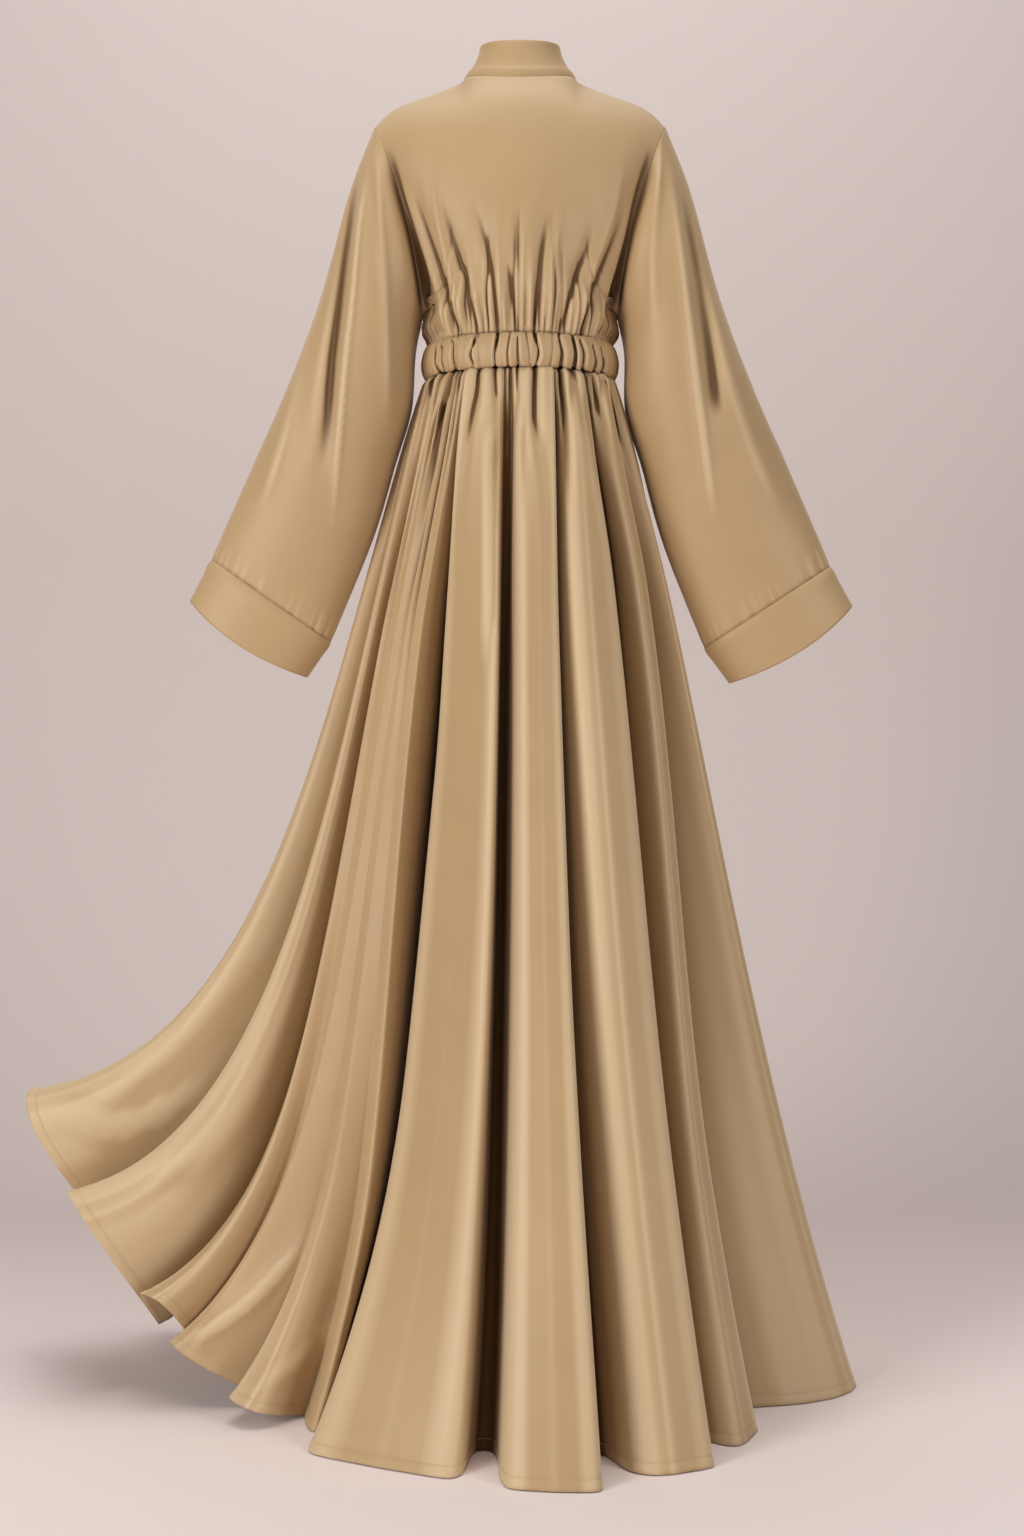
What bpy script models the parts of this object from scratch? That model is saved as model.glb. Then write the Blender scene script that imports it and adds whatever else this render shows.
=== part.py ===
"""Abaya cloak: floor-length, with a stand collar, a gathered elastic waist, wide sleeves with deep
cuffs and a full skirt whose left side is swept out into a lifted train.

Metres, +Z up. The front faces -Y, the back +Y, and the wearer's left is at +X. The origin is at the
base of the neck on the shoulder line, where the wearer holds the garment up.

Every piece is a wall of cloth. Its middle surface is a net of points (rows run down, columns run
counterclockwise seen from above), and cloth_wall bends a flat slab onto that net.
"""

import math

import bmesh
import bpy
import numpy as np

# ---------------------------------------------------------------- driving sizes (m)
SHOULDER_TO_FLOOR = 1.5275    # high shoulder point down to the floor that the hem meets
CREPE = 0.0016                # wall of the dress cloth
STIFF = 0.0022                # wall of the faced collar and cuffs
SEAM_RETREAT = 0.0002         # each piece stops this short of a seam line
CENTRE_FRONT_GAP = 0.0006     # between the two front edges

NECK_HALF_WIDTH = 0.0665
NECK_BACK, NECK_FRONT = 0.055, 0.082          # how far the neckline runs behind and in front
NECK_SIDE_Z, NECK_BACK_DROP, NECK_FRONT_DROP = -0.003, 0.0113, 0.069
COLLAR_TOP_HALF_WIDTH = 0.0465
COLLAR_TOP_BACK, COLLAR_TOP_FRONT = 0.046, 0.060
COLLAR_TOP_SIDE_Z, COLLAR_TOP_BACK_DROP, COLLAR_TOP_FRONT_DROP = 0.035, 0.005, 0.057

SHOULDER_HALF_WIDTH, SHOULDER_TIP_Z = 0.170, -0.060
UNDERARM_X, UNDERARM_Z = 0.1135, -0.279
ARMHOLE_DEPTH = 0.072          # how far the armhole bows to the back and to the front
ARMHOLE_BOW = 0.008            # and how far inward
ARMHOLE_TIP_LEAN = (0.5, 0.0, 1.0)             # how the rims at the shoulder tip are cut
UNDERARM_GAP = 0.0014          # between the sleeve and the bodice where both hang side by side

WAIST_HALF_WIDTH, WAIST_HALF_DEPTH = 0.1075, 0.0925
CASING_TOP_Z, CASING_BOTTOM_Z = -0.316, -0.3545
CASING_BULGE = 0.006
PUCKERS = 44                   # pinches in the elastic casing, all round

# ---------------------------------------------------------------- how finely the nets are cut
NECK_STEPS, SHOULDER_STEPS = 9, 15             # columns on each half of the bodice
ARMHOLE_STEPS, SIDE_STEPS = 8, 3               # rows down the bodice's side
SLEEVE_COLUMNS, SLEEVE_ROWS = 32, 9
CASING_COLUMNS, CASING_ROWS = 88, 4
FOLD_COLUMNS = 8                               # columns on each fold of the skirt
SKIRT_ROWS = 10
COLLAR_ROWS, CUFF_ROWS = 4, 2
BODICE_GATHERS = 12                            # gathers across the back, and across the two fronts

# ---------------------------------------------------------------- tables
# Centre lines of the bodice: share of the way down, distance from the mid plane, height.
BACK_LINE = (
    # share   depth    z
    (0.00, 0.0550, -0.0143),
    (0.15, 0.0780, -0.0450),
    (0.40, 0.1010, -0.1200),
    (0.65, 0.1070, -0.1950),
    (0.87, 0.1060, -0.2700),
    (1.00, 0.0925, -0.3160),
)
FRONT_LINE = (
    (0.00, 0.0820, -0.0720),
    (0.15, 0.0960, -0.0980),
    (0.40, 0.1120, -0.1500),
    (0.65, 0.1130, -0.2080),
    (0.87, 0.1060, -0.2740),
    (1.00, 0.0925, -0.3160),
)

# Sleeve sections: share along, outer edge (x, z), inner edge (x, z), half depth in y.
SLEEVE_SECTIONS = {
    "left": (
        # along  outer x  outer z  inner x  inner z  depth
        (0.15, 0.1960, -0.128, 0.1225, -0.319, 0.080),
        (0.35, 0.2320, -0.258, 0.1275, -0.387, 0.082),
        (0.55, 0.2710, -0.362, 0.1460, -0.450, 0.074),
        (0.75, 0.3100, -0.450, 0.1700, -0.531, 0.062),
        (1.00, 0.3610, -0.564, 0.2220, -0.660, 0.046),
    ),
    "right": (
        (0.15, 0.1960, -0.128, 0.1225, -0.319, 0.080),
        (0.35, 0.2320, -0.258, 0.1240, -0.389, 0.082),
        (0.55, 0.2710, -0.362, 0.1430, -0.454, 0.074),
        (0.75, 0.3100, -0.450, 0.1660, -0.538, 0.062),
        (1.00, 0.3630, -0.572, 0.2160, -0.667, 0.046),
    ),
}
# The cuff's open end: outer x and z, inner x and z, half depth, and how far its faces bow past that.
CUFF_ENDS = {
    "left": (0.3855, -0.612, 0.2500, -0.701, 0.044, 0.012),
    "right": (0.3880, -0.618, 0.2460, -0.708, 0.044, 0.012),
}

# Long soft folds on the sleeve. Turn is measured from the outer edge over the back to the inner edge.
SLEEVE_FOLDS = (
    # starts  ends  turn at start, at end   height   half width (degrees)
    (0.04, 0.66, 28, 112, 0.006, 17),
    (0.03, 1.02, 17, 132, 0.009, 15),
    (0.05, 0.84, 6, 96, -0.009, 15),
    (0.28, 1.10, 12, 47, 0.006, 13),
)

# The skirt's folds, counterclockwise from the left side seam. A row holds one fold: where its ridge
# leaves the waist, where the ridge and the valley after it meet the hem (x, y and lift off the
# floor), how far the fold is swept sideways on its way down (0 straight, 1 blown out), and how late
# the valley deepens (1 steadily, 4 only near the hem).
SKIRT_FOLDS = (
    # name             waist deg  ridge x, y, lift          valley x, y, lift        sweep  deepens
    ("train tip", 5, 0.580, -0.005, 0.330, 0.512, -0.010, 0.200, 1.00, 1.0),
    ("train second", 19, 0.494, 0.090, 0.211, 0.418, 0.035, 0.078, 0.98, 1.2),
    ("train third", 34, 0.410, 0.118, 0.128, 0.372, 0.065, 0.067, 0.85, 4.0),
    ("train hollow", 45, 0.389, 0.095, 0.066, 0.309, 0.100, 0.021, 0.80, 4.0),
    ("train fifth", 54, 0.299, 0.176, 0.022, 0.240, 0.130, 0.000, 0.72, 4.0),
    ("train last", 62, 0.227, 0.183, 0.000, 0.222, 0.150, 0.000, 0.50, 1.0),
    ("left back panel", 73, 0.147, 0.304, 0.000, 0.035, 0.250, 0.000, 0.60, 1.0),
    ("centre back column", 96, -0.033, 0.378, 0.000, -0.080, 0.262, 0.000, 0.05, 1.0),
    ("right back panel", 118, -0.155, 0.325, 0.000, -0.190, 0.215, 0.000, 0.00, 1.0),
    ("right narrow fold", 141, -0.240, 0.222, 0.000, -0.238, 0.110, 0.000, 0.05, 1.0),
    ("right side panel", 163, -0.382, 0.035, 0.000, -0.330, -0.045, 0.000, 0.01, 1.0),
    ("front right outer", 189, -0.369, -0.130, 0.000, -0.280, -0.165, 0.000, 0.04, 1.0),
    ("front right middle", 212, -0.300, -0.250, 0.000, -0.205, -0.240, 0.000, 0.00, 1.0),
    ("front right inner", 237, -0.185, -0.330, 0.000, -0.090, -0.280, 0.000, 0.00, 1.0),
    ("centre front", 270, 0.000, -0.372, 0.000, 0.090, -0.280, 0.000, 0.00, 1.0),
    ("front left inner", 302, 0.190, -0.328, 0.000, 0.240, -0.240, 0.008, 0.15, 1.0),
    ("front left middle", 319, 0.340, -0.275, 0.030, 0.360, -0.180, 0.070, 0.50, 1.0),
    ("front left outer", 333, 0.450, -0.225, 0.125, 0.455, -0.130, 0.180, 0.80, 1.0),
    ("train front", 346, 0.540, -0.168, 0.255, 0.530, -0.100, 0.300, 0.95, 1.0),
)
LEFT_SEAM_FOLD, CENTRE_FRONT_FOLD, RIGHT_SEAM_FOLD = 0, 14, 11

# The folds between these two lie in one broad panel. They follow its sweep and not their own, and
# stand out of it only near the hem.
PANEL_FIRST, PANEL_LAST, PANEL_PARTS_LATE = 2, 5, 3.5

# One fold from its ridge to a valley: share of the columns, share of the width, share of the depth.
FOLD_PROFILE = (
    # step   across  depth
    (0.000, 0.000, 1.00),
    (0.125, 0.200, 0.96),
    (0.250, 0.355, 0.79),
    (0.375, 0.420, 0.27),
    (0.500, 0.500, 0.00),
)
WAIST_FOLD_HEIGHT, WAIST_GATHER_HEIGHT = 0.003, 0.0050

MIRROR_X = (-1.0, 1.0, 1.0)
CAMEL = (0.485, 0.335, 0.180, 1.0)
CAMEL_FACED = (0.470, 0.322, 0.170, 1.0)


# Where each edge of a net lies, and the line of points next to it.
EDGES = {
    "top": (np.s_[0], np.s_[1]),
    "bottom": (np.s_[-1], np.s_[-2]),
    "first": (np.s_[:, 0], np.s_[:, 1]),
    "last": (np.s_[:, -1], np.s_[:, -2]),
}


# ---------------------------------------------------------------- small helpers
def unit(vectors):
    """Vectors of length 1, along the last axis."""
    return vectors / np.linalg.norm(vectors, axis=-1, keepdims=True)


def smooth(share):
    """0 to 1 with level ends."""
    share = np.clip(share, 0.0, 1.0)
    return share * share * (3.0 - 2.0 * share)


def read_curve(table, share):
    """A smooth curve through the rows of a table whose first column is the share along it."""
    rows = np.array(table, float)
    knots, values = rows[:, 0], rows[:, 1:]
    slopes = np.gradient(values, knots, axis=0)
    share = np.clip(np.atleast_1d(share), knots[0], knots[-1])
    k = np.clip(np.searchsorted(knots, share, side="right") - 1, 0, len(knots) - 2)
    span = (knots[k + 1] - knots[k])[:, None]
    t = (share - knots[k])[:, None] / span
    return (
        (2 * t**3 - 3 * t**2 + 1) * values[k]
        + (t**3 - 2 * t**2 + t) * span * slopes[k]
        + (3 * t**2 - 2 * t**3) * values[k + 1]
        + (t**3 - t**2) * span * slopes[k + 1]
    )


def net_normals(net, ring=False):
    """Outward normals of a net of points."""
    down = np.gradient(net, axis=0)
    if ring:
        wide = np.concatenate([net[:, -2:-1], net, net[:, 1:2]], axis=1)
        along = (wide[:, 2:] - wide[:, :-2]) / 2
    else:
        along = np.gradient(net, axis=1)
    return unit(np.cross(down, along))


def squared(directions, axis):
    """Directions turned square to one axis."""
    flat = np.array(directions)
    flat[..., axis] = 0.0
    return unit(flat)


def material(name, colour):
    """A plain Principled BSDF for one kind of cloth."""
    made = bpy.data.materials.new(name)
    made.use_nodes = True
    shader = made.node_tree.nodes["Principled BSDF"]
    shader.inputs["Base Color"].default_value = colour
    shader.inputs["Roughness"].default_value = 0.55
    shader.inputs["Metallic"].default_value = 0.0
    return made


def cloth_wall(name, net, cloth, thickness=CREPE, ring=False, seams=(), lean=None, square=None):
    """Bend a flat slab onto a net of points and give it the cloth's thickness.

    seams names the edges (top, bottom, first, last) that stop short of a seam line. lean maps an
    edge to the directions in which its rim is cut, and square maps one to the axis that its rim
    keeps clear of. ring joins the last column to the first.
    """
    net = np.array(net, float)
    normals = net_normals(net, ring)
    for edge, directions in (lean or {}).items():
        rim = EDGES[edge][0]
        facing = np.sum(directions * normals[rim], axis=-1, keepdims=True)
        normals[rim] = directions / np.clip(facing, 0.6, 1.0)
    for edge, axis in (square or {}).items():
        rim = EDGES[edge][0]
        normals[rim] = squared(normals[rim], axis)
    for edge in seams:
        rim, inner = EDGES[edge]
        net[rim] += unit(net[inner] - net[rim]) * SEAM_RETREAT
    layers = (net - normals * thickness / 2, net + normals * thickness / 2)

    rows, columns = net.shape[:2]
    bm = bmesh.new()
    bmesh.ops.create_grid(bm, x_segments=columns - 1, y_segments=rows - 1, size=0.5)
    grown = bmesh.ops.extrude_face_region(bm, geom=bm.faces[:])["geom"]
    outer = [piece for piece in grown if isinstance(piece, bmesh.types.BMVert)]
    bmesh.ops.translate(bm, verts=outer, vec=(0.0, 0.0, 1.0))
    place = {}
    for vert in bm.verts:
        column = round((vert.co.x + 0.5) * (columns - 1))
        row = round((0.5 - vert.co.y) * (rows - 1))
        place[vert] = (row, column)
        vert.co = layers[vert.co.z > 0.5][row, column]
    if ring:
        ends = (0, columns - 1)
        rims = [f for f in bm.faces if any(all(place[v][1] == end for v in f.verts) for end in ends)]
        bmesh.ops.delete(bm, geom=rims, context="FACES_ONLY")
        bmesh.ops.remove_doubles(bm, verts=bm.verts[:], dist=0.00001)
    bmesh.ops.recalc_face_normals(bm, faces=bm.faces[:])
    if bm.calc_volume(signed=True) < 0.0:
        bmesh.ops.reverse_faces(bm, faces=bm.faces[:])
    bmesh.ops.triangulate(bm, faces=bm.faces[:], quad_method="SHORT_EDGE")
    mesh = bpy.data.meshes.new(name)
    bm.to_mesh(mesh)
    bm.free()
    mesh.shade_smooth()
    mesh.set_sharp_from_angle(angle=math.radians(50))
    mesh.materials.append(cloth)
    made = bpy.data.objects.new(name, mesh)
    bpy.context.scene.collection.objects.link(made)
    return made


# ---------------------------------------------------------------- neck and collar
def neck_ring(turn, half_width, back, front, side_z, back_drop, front_drop):
    """A ring round the neck. Turn runs counterclockwise from +X."""
    sine = np.sin(turn)
    behind = np.clip(sine, 0.0, None)
    ahead = np.clip(-sine, 0.0, None)
    x = half_width * np.cos(turn)
    y = back * behind - front * ahead
    z = side_z - back_drop * behind**2 - front_drop * ahead**1.5
    return np.stack([x, y, z], axis=-1)


def neckline(turn):
    """The seam between the bodice and the collar."""
    return neck_ring(
        turn, NECK_HALF_WIDTH, NECK_BACK, NECK_FRONT, NECK_SIDE_Z, NECK_BACK_DROP, NECK_FRONT_DROP
    )


def neck_lean(turn):
    """How the rims at the neckline are cut: halfway between the collar's face and the bodice's."""
    outward = np.stack([np.cos(turn), np.sin(turn), np.full_like(turn, 0.75)], axis=-1)
    return unit(outward)


def make_collar(cloth):
    """The stand collar, open at the centre front."""
    half_gap = CENTRE_FRONT_GAP / 2 / NECK_HALF_WIDTH
    back = np.linspace(0.0, math.pi, 2 * NECK_STEPS + 1)
    right = np.linspace(math.pi, 1.5 * math.pi - half_gap, NECK_STEPS + 1)[1:]
    left = np.linspace(-0.5 * math.pi + half_gap, 0.0, NECK_STEPS + 1)[:-1]
    turn = np.concatenate([left, back, right])
    base = neckline(turn)
    top = neck_ring(
        turn,
        COLLAR_TOP_HALF_WIDTH,
        COLLAR_TOP_BACK,
        COLLAR_TOP_FRONT,
        COLLAR_TOP_SIDE_Z,
        COLLAR_TOP_BACK_DROP,
        COLLAR_TOP_FRONT_DROP,
    )
    rows = []
    for height in np.linspace(1.0, 0.0, COLLAR_ROWS + 1):
        inward = 1.0 - (1.0 - height) ** 1.6
        row = base + (top - base) * inward
        row[:, 2] = base[:, 2] + (top[:, 2] - base[:, 2]) * height
        rows.append(row)
    lean = {"bottom": neck_lean(turn)}
    square = {"first": 0, "last": 0}
    return cloth_wall("collar", rows, cloth, STIFF, seams=("bottom",), lean=lean, square=square)


# ---------------------------------------------------------------- bodice
def shoulder_line(share):
    """The shoulder seam, from the neck (0) to the top of the armhole (1)."""
    x = NECK_HALF_WIDTH + (SHOULDER_HALF_WIDTH - NECK_HALF_WIDTH) * share
    round_off = 0.021
    slope = NECK_SIDE_Z - SHOULDER_TIP_Z - round_off
    z = NECK_SIDE_Z - slope * share**0.8 - round_off * share**7
    return np.stack([x, np.zeros_like(x), z], axis=-1)


def armhole(turn):
    """The left armhole seam, from the shoulder tip (0) over the back (pi / 2) to the underarm (pi)."""
    middle_x, half_x = (SHOULDER_HALF_WIDTH + UNDERARM_X) / 2, (SHOULDER_HALF_WIDTH - UNDERARM_X) / 2
    middle_z, half_z = (SHOULDER_TIP_Z + UNDERARM_Z) / 2, (SHOULDER_TIP_Z - UNDERARM_Z) / 2
    x = middle_x + half_x * np.cos(turn) - ARMHOLE_BOW * np.sin(turn) ** 2
    y = ARMHOLE_DEPTH * np.sin(turn)
    z = middle_z + half_z * np.cos(turn)
    return np.stack([x, y, z], axis=-1)


def bodice_side():
    """The bodice's left edge, row by row: down the back of the armhole, then down the side seam."""
    arm = armhole(np.linspace(0.0, math.pi, ARMHOLE_STEPS + 1))
    share = np.linspace(0.0, 1.0, SIDE_STEPS + 1)[1:]
    x = UNDERARM_X + (WAIST_HALF_WIDTH - UNDERARM_X) * share**2.5
    z = UNDERARM_Z + (CASING_TOP_Z - UNDERARM_Z) * share
    side = np.stack([x, np.zeros_like(x), z], axis=-1)
    return np.concatenate([arm, side])


def bodice_half(side_sign):
    """The net of the left half of the back (side_sign 1) or of the left front (-1).

    Columns run from the side to the centre line.
    """
    rows = ARMHOLE_STEPS + SIDE_STEPS
    edge = bodice_side()
    line = read_curve(BACK_LINE if side_sign > 0 else FRONT_LINE, np.linspace(0.0, 1.0, rows + 1))
    neck_turn = np.linspace(0.0, math.pi / 2, NECK_STEPS + 1) * side_sign
    shoulder = shoulder_line(np.linspace(1.0, 0.0, SHOULDER_STEPS + 1))
    top = np.concatenate([shoulder, neckline(neck_turn)[1:]])
    top[:, 1] = np.abs(top[:, 1])
    columns = NECK_STEPS + SHOULDER_STEPS
    spread = 1.0 - np.arange(columns + 1) / columns      # 1 at the side, 0 at the centre line
    net = np.zeros((rows + 1, columns + 1, 3))
    for row in range(rows + 1):
        down = row / rows
        body = smooth(down / 0.55)                         # how far the body's form has taken over
        arched = 1.0 - max(0.0, 1.0 - down / 0.32) ** 4
        wrap = math.radians(58 + 32 * smooth((down - 0.35) / 0.4))
        side, (depth, height) = edge[row], line[row]
        x_top = top[:, 0] * side[0] / top[0, 0]
        x_body = side[0] * np.sin(wrap * spread) / math.sin(wrap)
        x = x_top + (x_body - x_top) * body
        sideways = x / side[0]
        to_side = sideways**1.5
        rise = depth - top[-1, 1]
        y_top = top[:, 1] + rise * (1 - to_side) + (side[1] - top[0, 1]) * to_side
        arch = (np.sqrt(1 - (sideways * math.sin(wrap)) ** 2) - math.cos(wrap)) / (1 - math.cos(wrap))
        y_body = side[1] + (depth - side[1]) * arch
        z_top = top[:, 2] + (height - top[-1, 2]) * (1 - to_side) + (side[2] - top[0, 2]) * to_side
        z_body = height * (1 - to_side) + side[2] * to_side
        net[row, :, 0] = x
        net[row, :, 1] = y_top + (y_body - y_top) * arched
        net[row, :, 2] = z_top + (z_body - z_top) * arched
    net[:, :, 1] *= side_sign
    return net


def add_gathers(net, gathers):
    """Gathers that rise from the waist seam, fan out and fade, and the soft blouse above the seam."""
    normals = net_normals(net)
    rows, columns = net.shape[:2]
    across = np.linspace(0.0, 1.0, columns)
    wave = -np.cos(2 * math.pi * gathers * across)
    uneven = 0.75 + 0.25 * np.cos(2 * math.pi * (2.3 * across + 0.2))
    for row in range(rows):
        down = row / (rows - 1)
        fade = smooth((down - 0.30 - 0.12 * uneven) / 0.6)
        blouse = 0.006 * math.sin(math.pi * min(1.0, max(0.0, (down - 0.72) / 0.28))) ** 2
        height = 0.0065 * fade * uneven * wave + blouse
        edge_hold = np.ones(columns)
        if down < 0.99:
            edge_hold = smooth(np.minimum(across, 1 - across) * columns / 4.5)
        net[row] += normals[row] * (height * edge_hold)[:, None]
    net[-1, :, 2] = CASING_TOP_Z
    return net


def bodice_top_lean(side_sign):
    """Directions of the top rim of half a bodice: upright on the shoulder, halfway at the neck."""
    neck_turn = np.linspace(0.0, math.pi / 2, NECK_STEPS + 1) * side_sign
    at_neck = neck_lean(neck_turn)
    line = shoulder_line(np.linspace(1.0, 0.0, SHOULDER_STEPS + 1))
    along = np.gradient(line, axis=0)
    upright = unit(np.stack([along[:, 2], np.zeros(len(along)), -along[:, 0]], axis=-1))
    shoulder = upright
    to_neck, to_tip = np.linspace(-2.0, 1.0, len(line)), np.linspace(1.0, -4.0, len(line))
    for blend, rim in ((to_neck, at_neck[0]), (to_tip, ARMHOLE_TIP_LEAN)):
        shoulder = unit(shoulder + (unit(np.array(rim)) - shoulder) * smooth(blend)[:, None])
    return np.concatenate([shoulder, at_neck[1:]])


def armhole_lean(turn, natural):
    """How the rims at the armhole are cut: shared down to where sleeve and bodice part ways."""
    cosine, sine = np.cos(turn), np.sin(turn)
    shared = np.stack([ARMHOLE_TIP_LEAN[0] * cosine + 0.45 * np.abs(sine), 0.9 * sine, cosine], axis=-1)
    own = armhole_parting(turn)[:, None]
    return unit(unit(shared) * (1 - own) + natural * own)


def armhole_parting(turn):
    """0 where the sleeve carries on from the bodice, 1 at the underarm, where both hang down."""
    from_underarm = np.abs(np.degrees(turn) - 180.0)
    return smooth((85.0 - from_underarm) / 65.0)


def side_lean(net, edge):
    """Directions of the rim down a bodice's side: along the armhole, then square to the side seam."""
    natural = net_normals(net)[EDGES[edge][0]]
    y_sign = math.copysign(1.0, net[1, 1, 1])
    x_sign = math.copysign(1.0, net[EDGES[edge][0]][0, 0])
    flip = np.array((x_sign, y_sign, 1.0))
    turn = np.linspace(0.0, math.pi, ARMHOLE_STEPS + 1)
    arm = armhole_lean(turn, natural[: ARMHOLE_STEPS + 1] * flip) * flip
    return np.concatenate([arm[:-1], squared(natural[ARMHOLE_STEPS:], 1)])


def make_bodice(cloth):
    """The back, cut in one, and the two fronts."""
    half, half_lean = bodice_half(1), bodice_top_lean(1)
    back = np.concatenate([half, half[:, -2::-1] * MIRROR_X], axis=1)
    back = add_gathers(back, BODICE_GATHERS)
    lean = {
        "first": side_lean(back, "first"),
        "last": side_lean(back, "last"),
        "top": np.concatenate([half_lean, half_lean[-2::-1] * MIRROR_X]),
    }
    seams = ("top", "bottom", "first", "last")
    cloth_wall("bodice_back", back, cloth, seams=seams, lean=lean, square={"bottom": 2})

    left = add_gathers(bodice_half(-1)[:, ::-1], BODICE_GATHERS / 2)
    left[:, 0, 0] = CENTRE_FRONT_GAP / 2
    lean = {"last": side_lean(left, "last"), "top": bodice_top_lean(-1)[::-1]}
    square = {"first": 0, "bottom": 2}
    seams = ("top", "bottom", "last")
    cloth_wall("bodice_front_left", left, cloth, seams=seams, lean=lean, square=square)
    right = left[:, ::-1] * MIRROR_X
    lean = {"first": lean["last"] * MIRROR_X, "top": lean["top"][::-1] * MIRROR_X}
    square = {"last": 0, "bottom": 2}
    seams = ("top", "bottom", "first")
    cloth_wall("bodice_front_right", right, cloth, seams=seams, lean=lean, square=square)


# ---------------------------------------------------------------- sleeves and cuffs
def sleeve_ring(outer, inner, depth, turn):
    """One section of the sleeve between its outer and its inner edge."""
    middle, reach = (outer + inner) / 2, (outer - inner) / 2
    ring = middle + np.cos(turn)[:, None] * reach
    ring[:, 1] += depth * np.sign(np.sin(turn)) * np.abs(np.sin(turn)) ** 0.9
    return ring


def armhole_ring(turn):
    """The armhole seam on the straight runs between the bodice's rows, moved clear of the bodice."""
    corners = np.linspace(0.0, 2 * math.pi, 2 * ARMHOLE_STEPS + 1)
    seam = armhole(corners)
    ring = np.stack([np.interp(turn, corners, seam[:, axis]) for axis in range(3)], axis=-1)
    ring[:, 0] += SEAM_RETREAT + armhole_parting(turn) * (CREPE + UNDERARM_GAP)
    return ring


def sleeve_net(side):
    """One sleeve as it would lie on the left, from the armhole to the cuff seam."""
    turn = np.linspace(0.0, 2 * math.pi, SLEEVE_COLUMNS + 1)
    start = armhole_ring(turn)
    outer_start, inner_start = start[0], start[SLEEVE_COLUMNS // 2]
    first = (0.0, outer_start[0], outer_start[2], inner_start[0], inner_start[2], ARMHOLE_DEPTH)
    sections = (first,) + SLEEVE_SECTIONS[side]
    along = np.linspace(0.0, 1.0, SLEEVE_ROWS + 1)
    rows = []
    for share, (outer_x, outer_z, inner_x, inner_z, depth) in zip(along, read_curve(sections, along)):
        outer = np.array([outer_x, 0.0, outer_z])
        inner = np.array([inner_x, 0.0, inner_z])
        ring = sleeve_ring(outer, inner, depth, turn)
        ring += (start - sleeve_ring(start[0], start[SLEEVE_COLUMNS // 2], ARMHOLE_DEPTH, turn)) * max(
            0.0, 1.0 - share / 0.2
        )
        rows.append(ring)
    net = np.array(rows)
    net += net_normals(net, ring=True) * sleeve_folds(along, np.degrees(turn))[:, :, None]
    return net


def sleeve_folds(along, turn):
    """Height of the long folds over the sleeve's net, alike on its back and its front."""
    height = np.zeros((len(along), len(turn)))
    from_outer = np.minimum(turn, 360.0 - turn)
    for starts, ends, turn_start, turn_end, tall, half_width in SLEEVE_FOLDS:
        share = (along - starts) / (ends - starts)
        centre = turn_start + (turn_end - turn_start) * share
        fade = np.clip(np.minimum(share, 1 - share) / 0.25, 0.0, 1.0)
        bump = np.exp(-(((from_outer[None] - centre[:, None]) / half_width) ** 2))
        height += tall * smooth(fade)[:, None] * bump
    return height


def cuff_net(side, seam):
    """The cuff, from the sleeve's last ring to its open end."""
    outer_x, outer_z, inner_x, inner_z, depth, bow = CUFF_ENDS[side]
    turn = np.linspace(0.0, 2 * math.pi, SLEEVE_COLUMNS + 1)
    outer = np.array([outer_x, 0.0, outer_z])
    inner = np.array([inner_x, 0.0, inner_z])
    end = sleeve_ring(outer, inner, depth, turn)
    onward = unit(end.mean(axis=0) - seam.mean(axis=0))
    end += onward * (bow * np.sin(turn) ** 2)[:, None]
    steps = np.linspace(0.0, 1.0, CUFF_ROWS + 1)[:, None, None]
    return seam + (end - seam) * steps


def make_sleeve(side, cloth, cuff_cloth):
    """A sleeve and its cuff. The right pair is laid out on the left and mirrored."""
    net = sleeve_net(side)
    cuff = cuff_net(side, net[-1])
    turn = np.linspace(0.0, 2 * math.pi, SLEEVE_COLUMNS + 1)
    top = armhole_lean(turn, net_normals(net, ring=True)[0])
    rim = net_normals(cuff, ring=True)[0]
    if side == "right":
        net, cuff = (part[:, ::-1] * MIRROR_X for part in (net, cuff))
        top, rim = (part[::-1] * MIRROR_X for part in (top, rim))
    lean = {"top": top, "bottom": rim}
    cloth_wall(f"sleeve_{side}", net, cloth, ring=True, seams=("bottom",), lean=lean)
    cloth_wall(f"cuff_{side}", cuff, cuff_cloth, STIFF, ring=True, seams=("top",), lean={"top": rim})


# ---------------------------------------------------------------- elastic waist
def waist_ring(turn, height, grow=0.0):
    """A ring at the waist, grown outward by a distance that may vary along it."""
    outward = unit(np.stack([np.cos(turn) / WAIST_HALF_WIDTH, np.sin(turn) / WAIST_HALF_DEPTH], axis=-1))
    ring = np.zeros((len(turn), 3))
    ring[:, 0] = WAIST_HALF_WIDTH * np.cos(turn) + outward[:, 0] * grow
    ring[:, 1] = WAIST_HALF_DEPTH * np.sin(turn) + outward[:, 1] * grow
    ring[:, 2] = height
    return ring


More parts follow.
